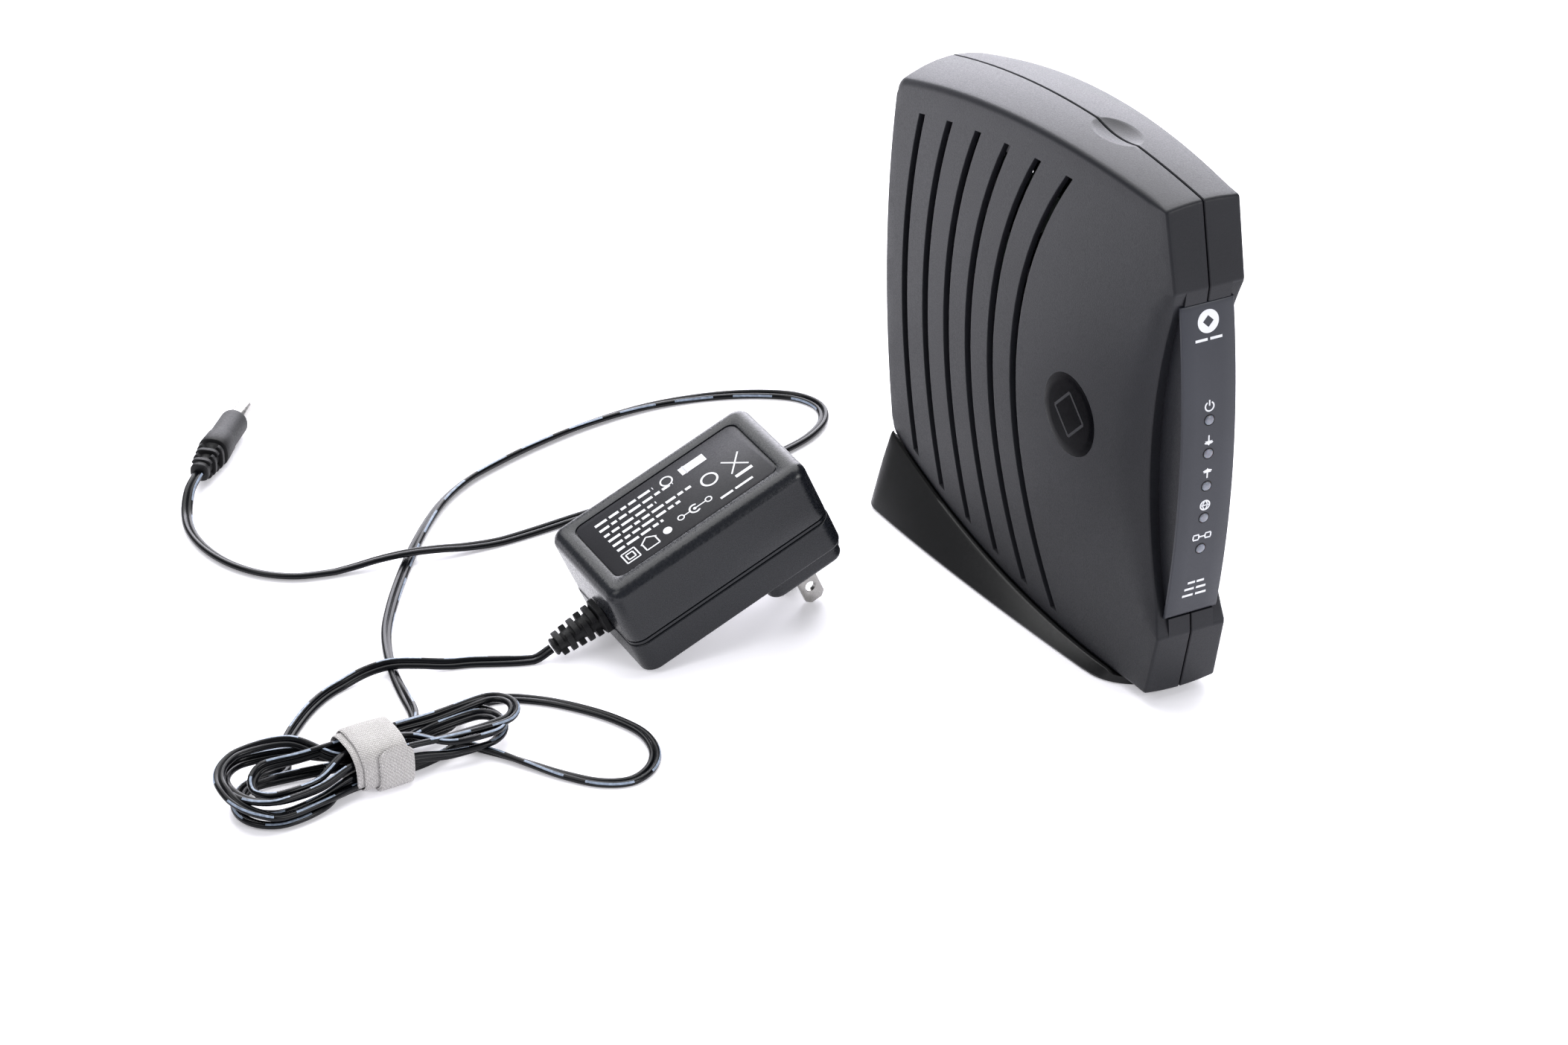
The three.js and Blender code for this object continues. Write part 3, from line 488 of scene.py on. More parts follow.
def rounded(corners):
    """Replaces each corner that has a radius by points on a curve."""
    result = []
    steps = 5
    for k, corner in enumerate(corners):
        if not corner.round_by:
            result.append(corner)
            continue
        before, after = corners[k - 1], corners[(k + 1) % len(corners)]
        for step in range(steps + 1):
            t = step / steps
            places = []
            for kind in ("ridge", "side"):
                middle = Vector(getattr(corner, kind))
                first = middle + (Vector(getattr(before, kind)) - middle).normalized() * corner.round_by
                last = middle + (Vector(getattr(after, kind)) - middle).normalized() * corner.round_by
                place = first * (1 - t) ** 2 + middle * 2 * t * (1 - t) + last * t * t
                places.append(tuple(place))
            result.append(Corner(*places, corner.lift, 0.0, corner.edge, corner.reach))
    return result


def shell_outline():
    """Outline of the side: along the top, down the back, along the bottom and up the front."""
    corners = []

    def edge_arc(along, height, chamfer, round_first, round_last):
        made = []
        for y in along:
            soft = 0.7 + 0.9 * smooth((y - chamfer[0]) / 8)
            reach = RIDGE_HALF + (RECESS_HALF - RIDGE_HALF) * smooth((y + 60) / 120)
            made.append(Corner((y, height(y)), lift=1, edge=soft, reach=reach))
        made[0].round_by = round_first
        made[-1].round_by = round_last
        corners.extend(made)

    def slope(steps, height, chamfer):
        start = height(chamfer[0])
        for t in steps:
            y = chamfer[0] + (LEDGE_Y - chamfer[0]) * t
            corners.append(Corner((y, start + (chamfer[1] - start) * t), lift=1 - t))

    top = [*np.linspace(UPPER_CHAMFER[0], -38.5, 12), *np.linspace(-36, -15, 22),
           *np.linspace(-12.5, BACK_Y, 28)]
    edge_arc(top, side_top, UPPER_CHAMFER, 0.9, 3.0)

    def back(z, notch):
        side = (back_y(z), z)
        corners.append(Corner((RECESS_Y, z) if notch else side, side, near_ends(z), 0, 1.0, RECESS_HALF))

    back(RECESS_HIGH + 0.06, False)
    for z in [RECESS_HIGH, *np.linspace(RECESS_HIGH - 3, RECESS_LOW + 3, 25), RECESS_LOW]:
        back(z, True)
    back(RECESS_LOW - 0.06, False)

    edge_arc(np.linspace(BACK_Y, LOWER_CHAMFER[0], 44), side_low, LOWER_CHAMFER, 3.0, 0.9)
    slope((0.2, 0.4, 0.6, 0.8), side_low, LOWER_CHAMFER)
    low, high = LOWER_CHAMFER[1], UPPER_CHAMFER[1]
    corners.append(Corner((LEDGE_Y, low), round_by=0.5))
    steps = 26
    for k in range(steps + 1):
        t = k / steps
        side_z = low + 0.9 + (high - low - 1.8) * t
        side = (crease_y(side_z, GROOVE_DEPTH), side_z)
        ridge_z = LABEL_LOW - 0.2 + (LABEL_HIGH - LABEL_LOW + 0.4) * t
        ridge = (label_face(ridge_z) + 1.1, ridge_z)
        if k in (0, steps):
            lip = (LABEL_Y - 0.25, ridge_z)
            beside = (side[0], side[1] + 0.02 - 0.04 * t)
            pair = [Corner(lip, side, edge=0.45), Corner(ridge, beside, edge=0.45)]
            corners.extend(pair if k == 0 else pair[::-1])
        else:
            corners.append(Corner(ridge, side, edge=0.45))
    corners.append(Corner((LEDGE_Y, high), round_by=0.5))
    slope((0.8, 0.6, 0.4, 0.2), side_top, UPPER_CHAMFER)
    return rounded(corners)


def outline_normals(places):
    normals = []
    count = len(places)
    for k in range(count):
        before, after = Vector(places[k - 1]), Vector(places[(k + 1) % count])
        step = (after - before).normalized()
        normals.append(Vector((-step.y, step.x)))
    return normals


def slot_loop(number, grow, steps=22):
    """Outline of one vent slot, grown on all sides; slot 0 is the rearmost."""
    middle = SLOT_MID_Y - number * SLOT_STEP
    bow = SLOT_BOW + number * SLOT_BOW_STEP
    end = middle - bow
    half = SLOT_WIDTH / 2 + grow

    def edge(side, t):
        y = end + side * half
        low = side_low(y) + SLOT_LOW_MARGIN - grow
        high = side_top(y) - SLOT_TOP_MARGIN + grow
        z = low + (high - low) * t
        return (y + bow * 4 * t * (1 - t), z)

    rise = [edge(1, k / steps) for k in range(steps + 1)]
    fall = [edge(-1, 1 - k / steps) for k in range(steps + 1)]
    return rise + fall


def inside(polygon, points):
    """Which of the points lie inside the polygon."""
    result = np.zeros(len(points), bool)
    y, z = points[:, 0], points[:, 1]
    for (y1, z1), (y2, z2) in zip(polygon, [*polygon[1:], polygon[0]]):
        crosses = (z1 > z) != (z2 > z)
        rise = (z2 - z1) if z2 != z1 else 1e-9
        result ^= crosses & (y < (y2 - y1) * (z - z1) / rise + y1)
    return result


def near_lines(loops, points, distance):
    close = np.zeros(len(points), bool)
    for loop in loops:
        for corner in loop:
            close |= np.hypot(points[:, 0] - corner[0], points[:, 1] - corner[1]) < distance
    return close


def side_sheet(border, holes, lift_to, rings=(), spacing=3.6):
    """Flat net of triangles inside the border and outside the holes, raised to x = lift_to(y, z).

    The rings are further lines of edges in the net, which keep the rounding of a hole's rim narrow.
    """
    lines = [border, *holes, *rings]
    low = np.min(border, axis=0)
    high = np.max(border, axis=0)
    across, up = (np.arange(low[k], high[k], spacing) for k in (0, 1))
    grid = np.array([(y, z) for y in across for z in up])
    keep = inside(border, grid) & ~near_lines(lines, grid, spacing * 0.5)
    for hole in holes:
        keep &= ~inside(hole, grid)
    grid = grid[keep]
    points = [Vector(point) for loop in lines for point in loop]
    edges = []
    start = 0
    for loop in lines:
        count = len(loop)
        edges.extend((start + k, start + (k + 1) % count) for k in range(count))
        start += count
    points.extend(Vector(point) for point in grid)
    net, _, triangles, *_ = delaunay_2d_cdt(points, edges, [], 0, 1e-5)
    net = np.array([tuple(point) for point in net])
    centres = np.array([net[list(face)].mean(axis=0) for face in triangles])
    keep = inside(border, centres)
    for hole in holes:
        keep &= ~inside(hole, centres)
    faces = [tuple(face) for face, wanted in zip(triangles, keep) if wanted]
    return [(lift_to(y, z), y, z) for y, z in net], faces


def outer_point(corner, normal, x, inset, ridge):
    """Place of an outline corner at distance x from the seam, with the crown and the thumb dimple."""
    y, z = corner.ridge if ridge else corner.side
    y -= normal.x * inset
    z -= normal.y * inset
    up = 1 if z > MID_Z else -1
    z += up * crown(y) * corner.lift * arch(x, y)
    if up > 0 and corner.lift == 1:
        sunk = 1 - (x / DIMPLE_HALF_WIDE) ** 2 - ((y - DIMPLE_Y) / DIMPLE_HALF_LONG) ** 2
        z -= DIMPLE_DEEP * max(0.0, sunk)
    return (x, y, z)


def dimple_reach(corner):
    """Distance from the seam to the dimple's edge, or a small one where there is no dimple."""
    y, z = corner.side
    across = 1 - ((y - DIMPLE_Y) / DIMPLE_HALF_LONG) ** 2
    if z < MID_Z or across <= 0:
        return 0.9
    return max(0.9, DIMPLE_HALF_WIDE * math.sqrt(across))


def outer_rows(corners):
    """Rows round the half shell, from the seam out to the border of the side face."""
    normals = outline_normals([corner.side for corner in corners])
    rows = []

    def add_row(x_of, inset, ridge):
        rows.append([outer_point(c, n, x_of(c), inset, ridge) for c, n in zip(corners, normals)])

    first = SEAM_HALF + 0.25
    add_row(lambda c: SEAM_HALF, 0.25, True)
    add_row(lambda c: first, 0, True)
    for k in range(1, 7):
        add_row(lambda c: first + (dimple_reach(c) - first) * k / 6, 0, True)
    for k in range(4):
        add_row(lambda c: dimple_reach(c) + 0.25 + (c.reach - dimple_reach(c) - 0.25) * k / 3, 0, True)
    for t in (0, 0.35, 0.7, 1):
        add_row(lambda c: c.reach + (side_x(*c.side) - c.edge - c.reach) * t, 0, False)
    for step in range(1, 7):
        angle = math.pi / 2 * step / 6
        row = []
        for c, n in zip(corners, normals):
            inset = c.edge * (1 - math.cos(angle))
            y = c.side[0] - n.x * inset
            z = c.side[1] - n.y * inset
            x = side_x(y, z) - c.edge * (1 - math.sin(angle))
            up = 1 if z > MID_Z else -1
            rise = crown(y) * c.lift * arch(x, y) * math.cos(angle)
            row.append((x, y, z + up * rise))
        rows.append(row)
    return rows


def inner_x(y, z):
    return half_width(y) - WALL


def inner_rows(border):
    """Rows of the inner skin, from the border of the inner side face back to the seam."""
    rows = []
    for t in (1, 0.66, 0.33, 0):
        row = []
        for y, z in border:
            x = SEAM_HALF + (inner_x(y, z) - SEAM_HALF) * t
            up = 1 if z > MID_Z else -1
            row.append((x, y, z + up * crown(y) * near_ends(z) * (1 - (x / inner_x(y, z)) ** 2)))
        rows.append(row)
    return rows


def slot_wall(number):
    """Wall of a vent slot through the side, with a small rounding at its outer rim."""
    rows = []
    for grow, depth in ((SLOT_ROUND, 0), (0.04, 0.04), (0, SLOT_ROUND)):
        rows.append([(side_x(y, z) - depth, y, z) for y, z in slot_loop(number, grow)])
    rows.append([(inner_x(y, z), y, z) for y, z in slot_loop(number, 0)])
    return skin(rows, caps=False)


def shell_shape():
    """One half shell on the +X side: outer skin, side face with slots, and inner skin."""
    numbers = range(SLOT_COUNT)
    corners = shell_outline()
    outer = outer_rows(corners)
    border = [(y, z) for _, y, z in outer[-1]]
    rings = [slot_loop(number, grow) for number in numbers for grow in (0.35, 1.0)]
    face = side_sheet(border, [slot_loop(number, SLOT_ROUND) for number in numbers], side_x, rings)
    inner_border = []
    for corner in corners:
        y = min(max(corner.side[0], -62.0), 64.0)
        z = min(max(corner.side[1], side_low(y) + WALL), side_top(y) - WALL)
        inner_border.append((y, z))
    inner_face = side_sheet(inner_border, [slot_loop(number, 0) for number in numbers], inner_x)
    inner = skin([*inner_rows(inner_border), outer[0]], caps=False)
    return merge(skin(outer, caps=False), face, inner, inner_face, *map(slot_wall, numbers))


def mirrored(shape):
    points, faces = shape
    return [(-x, y, z) for x, y, z in points], [face[::-1] for face in faces]


def make_shells():
    shape = shell_shape()
    mesh_piece("right_housing", shape, "shell", "modem", ["right_shell"], angle=28)
    mesh_piece("left_housing", mirrored(shape), "shell", "modem", ["left_shell"], angle=28)


def make_label():
    half = LABEL_HALF
    section = [(-half, LABEL_THICK), (-half, 0.3), (-half + 0.09, 0.09), (-half + 0.3, 0)]
    section += [(x, 0) for x in (-4, 0, 4)]
    section += [(-x, depth) for x, depth in section[3::-1]]
    low, high = LABEL_LOW + 0.1, LABEL_HIGH - 0.1
    rows = [(low, 0.3), (low + 0.09, 0.09), (low + 0.3, 0)]
    rows += [(z, 0) for z in np.linspace(low + 1.5, high - 1.5, 60)]
    rows += [(high - 0.3, 0), (high - 0.09, 0.09), (high, 0.3)]
    loops = [[(x, label_face(z) + min(max(depth, back), LABEL_THICK), z) for x, depth in section]
             for z, back in rows]
    mesh_piece("status_label", skin(loops), "label", "modem", ["front_label"], angle=50)


def lathe(profile, place, sides=32):
    """Turns (radius, height) pairs about a local axis; place(x, y, height) puts each point."""
    turns = [2 * math.pi * k / sides for k in range(sides)]
    return skin([[place(*polar(max(radius, 0.004), turn), height) for turn in turns]
                 for radius, height in profile])


def make_lenses():
    for number, z in enumerate(LED_HEIGHTS, 1):
        face = label_face(z)
        tilt = (label_face(z + 1) - label_face(z - 1)) / 2

        def place(a, b, height, face=face, z=z, tilt=tilt):
            return (a, face - height + tilt * b, z + b)

        profile = [(LENS_RADIUS, -0.3), (LENS_RADIUS, 0.02)]
        for angle in np.linspace(0.12, 1.57, 8):
            profile.append((LENS_RADIUS * math.cos(angle), 0.02 + 0.5 * math.sin(angle)))
        mesh_piece(f"status_dome_{number}", lathe(profile, place), "lens", "modem",
                   [f"status_lens_{number}"], angle=60)
        ring = [(1.72, -0.2), (1.72, 0.05), (1.66, 0.09), (1.5, 0.09), (1.43, 0.03), (1.43, -0.2)]
        mesh_piece(f"status_bezel_{number}", lathe(ring, place), "ink_dark", "modem", angle=60)


# Printed marks are outlines in the plane of the print; plates() makes thin plates of them.
def bar(x0, z0, x1, z1, width):
    along = Vector((x1 - x0, z1 - z0)).normalized() * width / 2
    ends = ((x0, z0, 1), (x1, z1, 1), (x1, z1, -1), (x0, z0, -1))
    return [(x - way * along.y, z + way * along.x) for x, z, way in ends]


def arc_band(x, z, radius, width, start, end, steps=18):
    angles = [math.radians(start + (end - start) * k / steps) for k in range(steps + 1)]
    outer = [polar(radius + width / 2, angle, x, z) for angle in angles]
    inner = [polar(radius - width / 2, angle, x, z) for angle in angles]
    return outer + inner[::-1]


def ring_marks(x, z, radius, width):
    return [arc_band(x, z, radius, width, 0, 180), arc_band(x, z, radius, width, 180, 360)]


def badge_marks(x, z, radius, hole):
    """Plain disc with a diamond cut out of its middle, as two halves."""
    halves = []
    for start, way in ((90, 1), (270, -1)):
        rim = [polar(radius, math.radians(start + 180 * k / 24), x, z) for k in range(25)]
        halves.append(rim + [(x, z - way * hole), (x - way * hole, z), (x, z + way * hole)])
    return halves


def disc_mark(x, z, radius):
    return [polar(radius, 2 * math.pi * k / 36, x, z) for k in range(36)]


def frame_marks(corners, width):
    """Bars along the sides of a four-cornered outline."""
    return [bar(*corners[k], *corners[(k + 1) % 4], width) for k in range(4)]


def plates(outlines, place, low=-0.04, high=0.045):
    """Closed thin plates from flat outlines; place(x, z, height) lays them on a surface."""
    shapes = []
    for outline in outlines:
        loops = [[place(x, z, height) for x, z in outline] for height in (low, high)]
        shapes.append(skin(loops))
    return merge(*shapes)


def led_marks():
    """White marks of the label: a disc on top, rows of bars, and a small pictogram above each light."""
    marks = badge_marks(0, 121.4, 3.3, 1.7)
    for row, reach in ((116.4, 4.2), (40.6, 2.6), (38.4, 3.4), (36.2, 3.8)):
        marks += [bar(-reach, row, -reach * 0.1, row, 0.75), bar(reach * 0.1, row, reach, row, 0.75)]
    stroke = 0.42
    heights = [z + 4.1 for z in LED_HEIGHTS]
    z = heights[0]
    marks.append(arc_band(0, z, 1.35, stroke, 120, 420))
    marks.append(bar(0, z + 0.2, 0, z + 1.9, stroke))
    for z, way in ((heights[1], -1), (heights[2], 1)):
        marks.append(bar(0, z - way * 1.5, 0, z + way * 0.3, stroke))
        marks.append([(-1.2, z + way * 0.2), (1.2, z + way * 0.2), (0, z + way * 1.6)])
        start = 60 if way > 0 else 240
        marks.append(arc_band(0, z - way * 2.2 + way * 0.6, 2.6, stroke, start, start + 60))
    z = heights[3]
    marks += ring_marks(0, z, 1.45, stroke)
    marks.append(bar(-1.4, z, 1.4, z, stroke * 0.8))
    marks.append(arc_band(1.05, z, 1.75, stroke * 0.8, 125, 235))
    marks.append(arc_band(-1.05, z, 1.75, stroke * 0.8, -55, 55))
    z = heights[4]
    for side in (-1, 1):
        left, right = side * 1.9 - 0.9, side * 1.9 + 0.9
        marks += [bar(left, z + rise, right, z + rise, stroke) for rise in (-0.8, 0.8)]
        marks += [bar(x, z - 0.6, x, z + 0.6, stroke) for x in (left, right)]
    marks.append(bar(-1, z, 1, z, stroke))
    return marks


def make_prints():
    def on_label(x, z, height):
        return (x, label_face(z) - height, z)

    mesh_piece("label_print", plates(led_marks(), on_label), "ink", "modem", angle=60)
    for side, name in ((-1, "left"), (1, "right")):
        def on_side(radius, angle, height, side=side):
            y, z = polar(radius, angle, DISC_Y, DISC_Z)
            return (side * (side_x(y, z) + height), y, z)

        turns = [2 * math.pi * k / 72 for k in range(72)]
        rows = [(0.3, -0.1), (DISC_RADIUS, -0.1), (DISC_RADIUS, 0.03), (DISC_RADIUS - 0.08, 0.06)]
        rows += [(radius, 0.06) for radius in (9.6, 6.5, 3, 0.3)]
        loops = [[on_side(radius, angle, height) for angle in turns] for radius, height in rows]
        mesh_piece(f"{name}_side_disc", skin(loops), "disc", "modem", angle=50)
        diamond = frame_marks([(0, 7), (-7, 0), (0, -7), (7, 0)], 0.8)

        def on_disc(y, z, height, on_side=on_side):
            return on_side(math.hypot(y, z), math.atan2(z, y), 0.06 + height)

        mesh_piece(f"{name}_side_mark", plates(diamond, on_disc), "shell", "modem", angle=50)


# ---- stand ---------------------------------------------------------------------------
def stand_half(y):
    if y < NOSE_Y:
        nose = (NOSE_Y - y) / (NOSE_Y - STAND_FRONT)
        return STAND_HALF_FRONT * math.sqrt(max(0.0, 1 - nose * nose))
    t = max(0.0, (STAND_BACK - 2 - y) / (STAND_BACK - NOSE_Y))
    return STAND_HALF_BACK - (STAND_HALF_BACK - STAND_HALF_FRONT) * t ** 1.5


def corner_round(y, radius):
    past = y - (STAND_BACK - radius)
    return radius - math.sqrt(max(0.0, radius ** 2 - past ** 2)) if past > 0 else 0.0


def stand_section(y):
    """Closed section across the stand: flared side, lip round the body, and the hollow it sits in."""
    foot = stand_half(y) - corner_round(y, 7)
    body = half_width(y)

    def belly(x):
        return side_low(y) - crown(y) * arch(x, y) - 0.3

    lip = min(body + 1.3 - corner_round(y, 1.2), foot - 0.25)
    under = belly(lip)
    outside = smooth((foot - body - 0.4) / 2.2)
    rim = under + (side_low(y) + 0.7 - under) * outside
    rim = max(rim, 1.3)
    toe = min(1.0, foot * 0.3, rim * 0.5)
    right = [(foot - toe, 0.0), (foot - toe * 0.3, toe * 0.3), (foot, toe)]
    for t in (0.15, 0.3, 0.45, 0.6, 0.75, 0.9, 0.97):
        bulge = 0.035 * (rim - toe) * math.sin(math.pi * t)
        right.append((foot + (lip - foot) * t + bulge, toe + (rim - toe) * t))
    right.append((lip - 0.12, rim - 0.02))
    inner = min(body + 0.35, lip - 0.3)
    right.append((inner, rim - 0.05))
    right.append((inner, min(max(belly(inner), rim - 0.6), rim - 0.06)))
    for t in (0.96, 0.85, 0.6, 0.3):
        right.append((inner * t, min(belly(inner * t), rim - 0.06)))
    left = [(-x, z) for x, z in right][::-1]
    return [(x, y, max(z, 0.0)) for x, z in right + left]


def make_stand():
    rows = [STAND_FRONT + 0.15 + (NOSE_Y - STAND_FRONT) * (k / 16) ** 1.8 for k in range(17)]
    rows += list(np.linspace(NOSE_Y + 2, STAND_BACK - 8, 36))
    rows += [STAND_BACK - 8 + 8 * math.sin(math.pi / 2 * k / 10) for k in range(1, 11)]
    loops = [stand_section(y) for y in rows]
    mesh_piece("stand_moulding", skin(loops), "stand", "modem", ["stand"], angle=40)
    for number, (x, y) in enumerate(((20, 52), (-20, 52), (13.5, -28), (-13.5, -28)), 1):
        profile = [(4, 1.2), (4, 0.2), (3.8, 0.03), (2, 0), (0.5, 0)]
        foot = lathe(profile, lambda a, b, height, x=x, y=y: (x + a, y + b, height))
        mesh_piece(f"stand_pad_{number}", foot, "rubber", "modem", [f"stand_foot_{number}"])


# ---- sockets on the back -------------------------------------------------------------
def on_coax(a, b, height):
    return (COAX_X + a, height, COAX_Z + b)


def make_coax():
    """Threaded connector and the insulator in it."""
    start, end = COAX_START, COAX_END
    profile = [(6.4, start - 3), (6.4, start), (4.6, start), (4.6, start + 0.5)]
    pitch = 0.8
    thread = ((4.42, 0), (4.75, 0.35), (4.75, 0.5), (4.42, 0.9))
    for k in range(int((end - start - 1.6) / pitch)):
        base = start + 0.6 + k * pitch
        profile += [(radius, base + pitch * part) for radius, part in thread]
    mouth = ((4.6, 0.7), (4.5, 0.15), (4.3, 0), (3.6, 0), (3.45, 0.2), (3.4, 5), (0.9, 5))
    profile += [(radius, end - depth) for radius, depth in mouth]
    barrel = lathe(profile, on_coax, 48)
    mesh_piece("coax_barrel", barrel, "nickel", "modem", ["coax_connector"], angle=40)
    core = [(3.38, end - 5), (3.38, end - 2.2), (1.1, end - 2.2), (0.9, end - 2.4), (0.9, end - 4.8)]
    mesh_piece("coax_insulator", lathe(core, on_coax, 32), "insulator", "modem", angle=40)


def make_nut():
    """Hexagonal nut with its corners turned down at both faces."""
    sides = 72
    loops = []
    near, far, hole = COAX_START, 70.75, 5.05
    rows = [(near, 6.0, 0), (68.6, 6.6, 0), (70.5, 6.6, 0), (far, 6.0, 0), (far, 0, hole),
            (near, 0, hole), (near, 6.0, 0)]
    for height, limit, bore in rows:
        loop = []
        for k in range(sides):
            angle = 2 * math.pi * k / sides
            wedge = (angle + math.pi / 6) % (math.pi / 3) - math.pi / 6
            radius = bore or min(limit, 5.5 / math.cos(wedge))
            loop.append(on_coax(*polar(radius, angle), height))
        loops.append(loop)
    nut = skin(loops, caps=False)
    mesh_piece("coax_hex_nut", nut, "nickel", "modem", ["coax_nut"], angle=30)


def make_contacts():
    """Eight bent wires at the top of the Ethernet jack."""
    contacts = []
    middle = (-12.3 + 2.9) / 2
    path = ((55.2, 106.4), (58, 106.5), (63.5, 109.2), (64.2, 109.0))
    square = ((-0.23, -0.15), (0.23, -0.15), (0.23, 0.15), (-0.23, 0.15))
    for k in range(8):
        left = middle + (k - 3.5) * 1.02
        rows = [[(left + across, y, height + up) for across, up in square] for y, height in path]
        contacts.append(skin(rows))
    mesh_piece("ethernet_contacts", merge(*contacts), "gold", "modem", angle=30)


# ---- power supply --------------------------------------------------------------------
def rect_loop(low, high, radius, z, steps=8):
    """Rounded rectangle at height z, as a loop with the same count at any size."""
    loop = []
    corners = ((high[0], high[1], 0), (low[0], high[1], 90), (low[0], low[1], 180),
               (high[0], low[1], 270))
    for x, y, start in corners:
        centre_x = x - math.copysign(radius, x - (low[0] + high[0]) / 2)
        centre_y = y - math.copysign(radius, y - (low[1] + high[1]) / 2)
        for k in range(steps + 1):
            loop.append((*polar(radius, math.radians(start + 90 * k / steps), centre_x, centre_y), z))
    return loop


def box_loops(low, high, radius, levels):
    """Rounded rectangles for (height, inset) levels."""
    loops = []
    for z, inset in levels:
        inner_low = (low[0] + inset, low[1] + inset)
        inner_high = (high[0] - inset, high[1] - inset)
        loops.append(rect_loop(inner_low, inner_high, max(radius - inset, 0.4), z))
    return loops


def quarter(z_from, inset_from, radius, way, steps=8):
    """Levels of a rolled edge that goes from a side wall into a flat face."""
    return [(z_from + way * radius * math.sin(math.pi / 2 * k / steps),
             inset_from + radius * (1 - math.cos(math.pi / 2 * k / steps))) for k in range(steps + 1)]


def make_supply():
    """The two case halves and all that is fixed to them; gives back the cord's relief."""
    low, high = (0, 0), (SUPPLY_LENGTH, SUPPLY_WIDTH)
    seam, height = SUPPLY_SEAM, SUPPLY_HEIGHT
    rim = ((0.25, 0.5), (0.25, 0.15), (0.35, 0.05), (1.15, 0.05), (1.2, 0.5), (1.5, 0.5), (1.6, 0.1),
           (1.8, 0), (8, 0))
    levels = [(seam + rise, inset) for rise, inset in rim] + quarter(height - CASE_ROLL, 0, CASE_ROLL, 1)
    loops = box_loops(low, high, CASE_CORNER, levels)
    recess_low, recess_high = (6.1, 5.9), (SUPPLY_LENGTH - 6.1, SUPPLY_WIDTH - 5.9)
    recess = [(height, -0.25), (height - 0.08, -0.05), (height - 0.6, 0)]
    loops += box_loops(recess_low, recess_high, 3, recess)
    case = moved(skin(loops), at_supply)
    mesh_piece("supply_cover", case, "supply_case", "power_supply", ["supply_upper_case"],
               angle=35)

    rim = ((0.45, -0.15), (0.25, -0.08), (0.1, 0.12), (0.02, 0.5), (0.02, 3))
    levels = quarter(1.0, -0.15, 1.0, -1)[::-1] + [(5, -0.15)]
    levels += [(seam - drop, inset) for drop, inset in rim]
    base = skin(box_loops(low, high, CASE_CORNER, levels))
    levels = [(0.4, 0), (-1, 0)] + quarter(-BLOCK_DEEP + 1.8, 0, 1.8, -1)
    block = skin(box_loops((BLOCK_FROM, 1.2), (BLOCK_TO, SUPPLY_WIDTH - 1.2), 4, levels))
    step = [(0.3, 0), (-0.9, 0), (-1.0, 0.1)]
    collar = skin(box_loops((BLOCK_FROM - 0.8, 0.5), (BLOCK_TO + 0.6, SUPPLY_WIDTH - 0.5), 4.4, step))
    lower = moved(merge(base, block, collar), at_supply)
    mesh_piece("supply_base", lower, "supply_case", "power_supply", ["supply_lower_case"],
               angle=35)

    plate_top = height - PLATE_THICK
    plate = box_loops((6.45, 6.25), (SUPPLY_LENGTH - 6.45, SUPPLY_WIDTH - 6.25), 2.7,
                      [(height - 0.62, 0), (plate_top, 0), (plate_top + 0.08, 0.1)])
    mesh_piece("supply_rating_plate", moved(skin(plate), at_supply), "supply_label", "power_supply",
               ["supply_label"], angle=40)
    make_supply_print(plate_top + 0.08)
    make_blades()
    return make_relief()


def make_supply_print(top):
    """Generic marks where a rating panel has its print: rows of bars and plain symbols."""
    marks = []
    start = 12.5
    for y, reach in ((27.3, 19), (24.6, 24), (21.9, 17), (19.4, 27), (16.9, 22), (14.4, 15)):
        x = start
        step = 0
        while x < start + reach:
            long = (3.1, 1.7, 2.4, 3.8)[(step + int(y)) % 4]
            marks.append(bar(x, y, min(x + long, start + reach), y, 0.95))
            x += long + 0.8
            step += 1
    for half in (2.1, 1.1):
        left, right, low, high = 14.4 - half, 14.4 + half, 10 - half, 10 + half
        marks += frame_marks([(left, low), (right, low), (right, high), (left, high)], 0.4)
    house = ((18.6, 8, 22.8, 8), (18.6, 8, 18.6, 11), (22.8, 8, 22.8, 11), (18.2, 10.8, 20.7, 12.6),
             (23.2, 10.8, 20.7, 12.6))
    marks += [bar(*ends, 0.4) for ends in house]
    marks.append(disc_mark(26.4, 10, 1.3))
    marks += ring_marks(31.5, 11.2, 0.9, 0.35) + ring_marks(40.5, 11.2, 0.9, 0.35)
    marks.append(arc_band(36, 11.2, 1.5, 0.5, 50, 310))
    marks.append(disc_mark(36, 11.2, 0.5))
    marks += [bar(32.5, 11.2, 34.3, 11.2, 0.35), bar(36.4, 11.2, 39.4, 11.2, 0.35)]
    marks += ring_marks(44.5, 17.5, 2.3, 0.6)
    marks += ring_marks(35.6, 26.6, 1.7, 0.45)
    marks += [bar(41.5, 24.6, 41.5, 28, 0.5), bar(40, 26.3, 48, 26.3, 3.0)]
    marks += [bar(50, 14.2, 55.5, 20.4, 0.45), bar(50, 20.4, 55.5, 14.2, 0.45)]
    marks.append(bar(50.2, 12.4, 55.6, 12.4, 1.1))
    marks += [bar(43, 8.6, 47, 8.6, 0.8), bar(47.8, 8.6, 53.5, 8.6, 0.8)]

    def on_plate(x, y, height):
        return (x * 1.05 - 1.5, y * 1.14, top + height)

    flat = plates(marks, on_plate, low=-0.05, high=0.03)
    mesh_piece("supply_print", moved(flat, at_supply), "ink", "power_supply", angle=60)


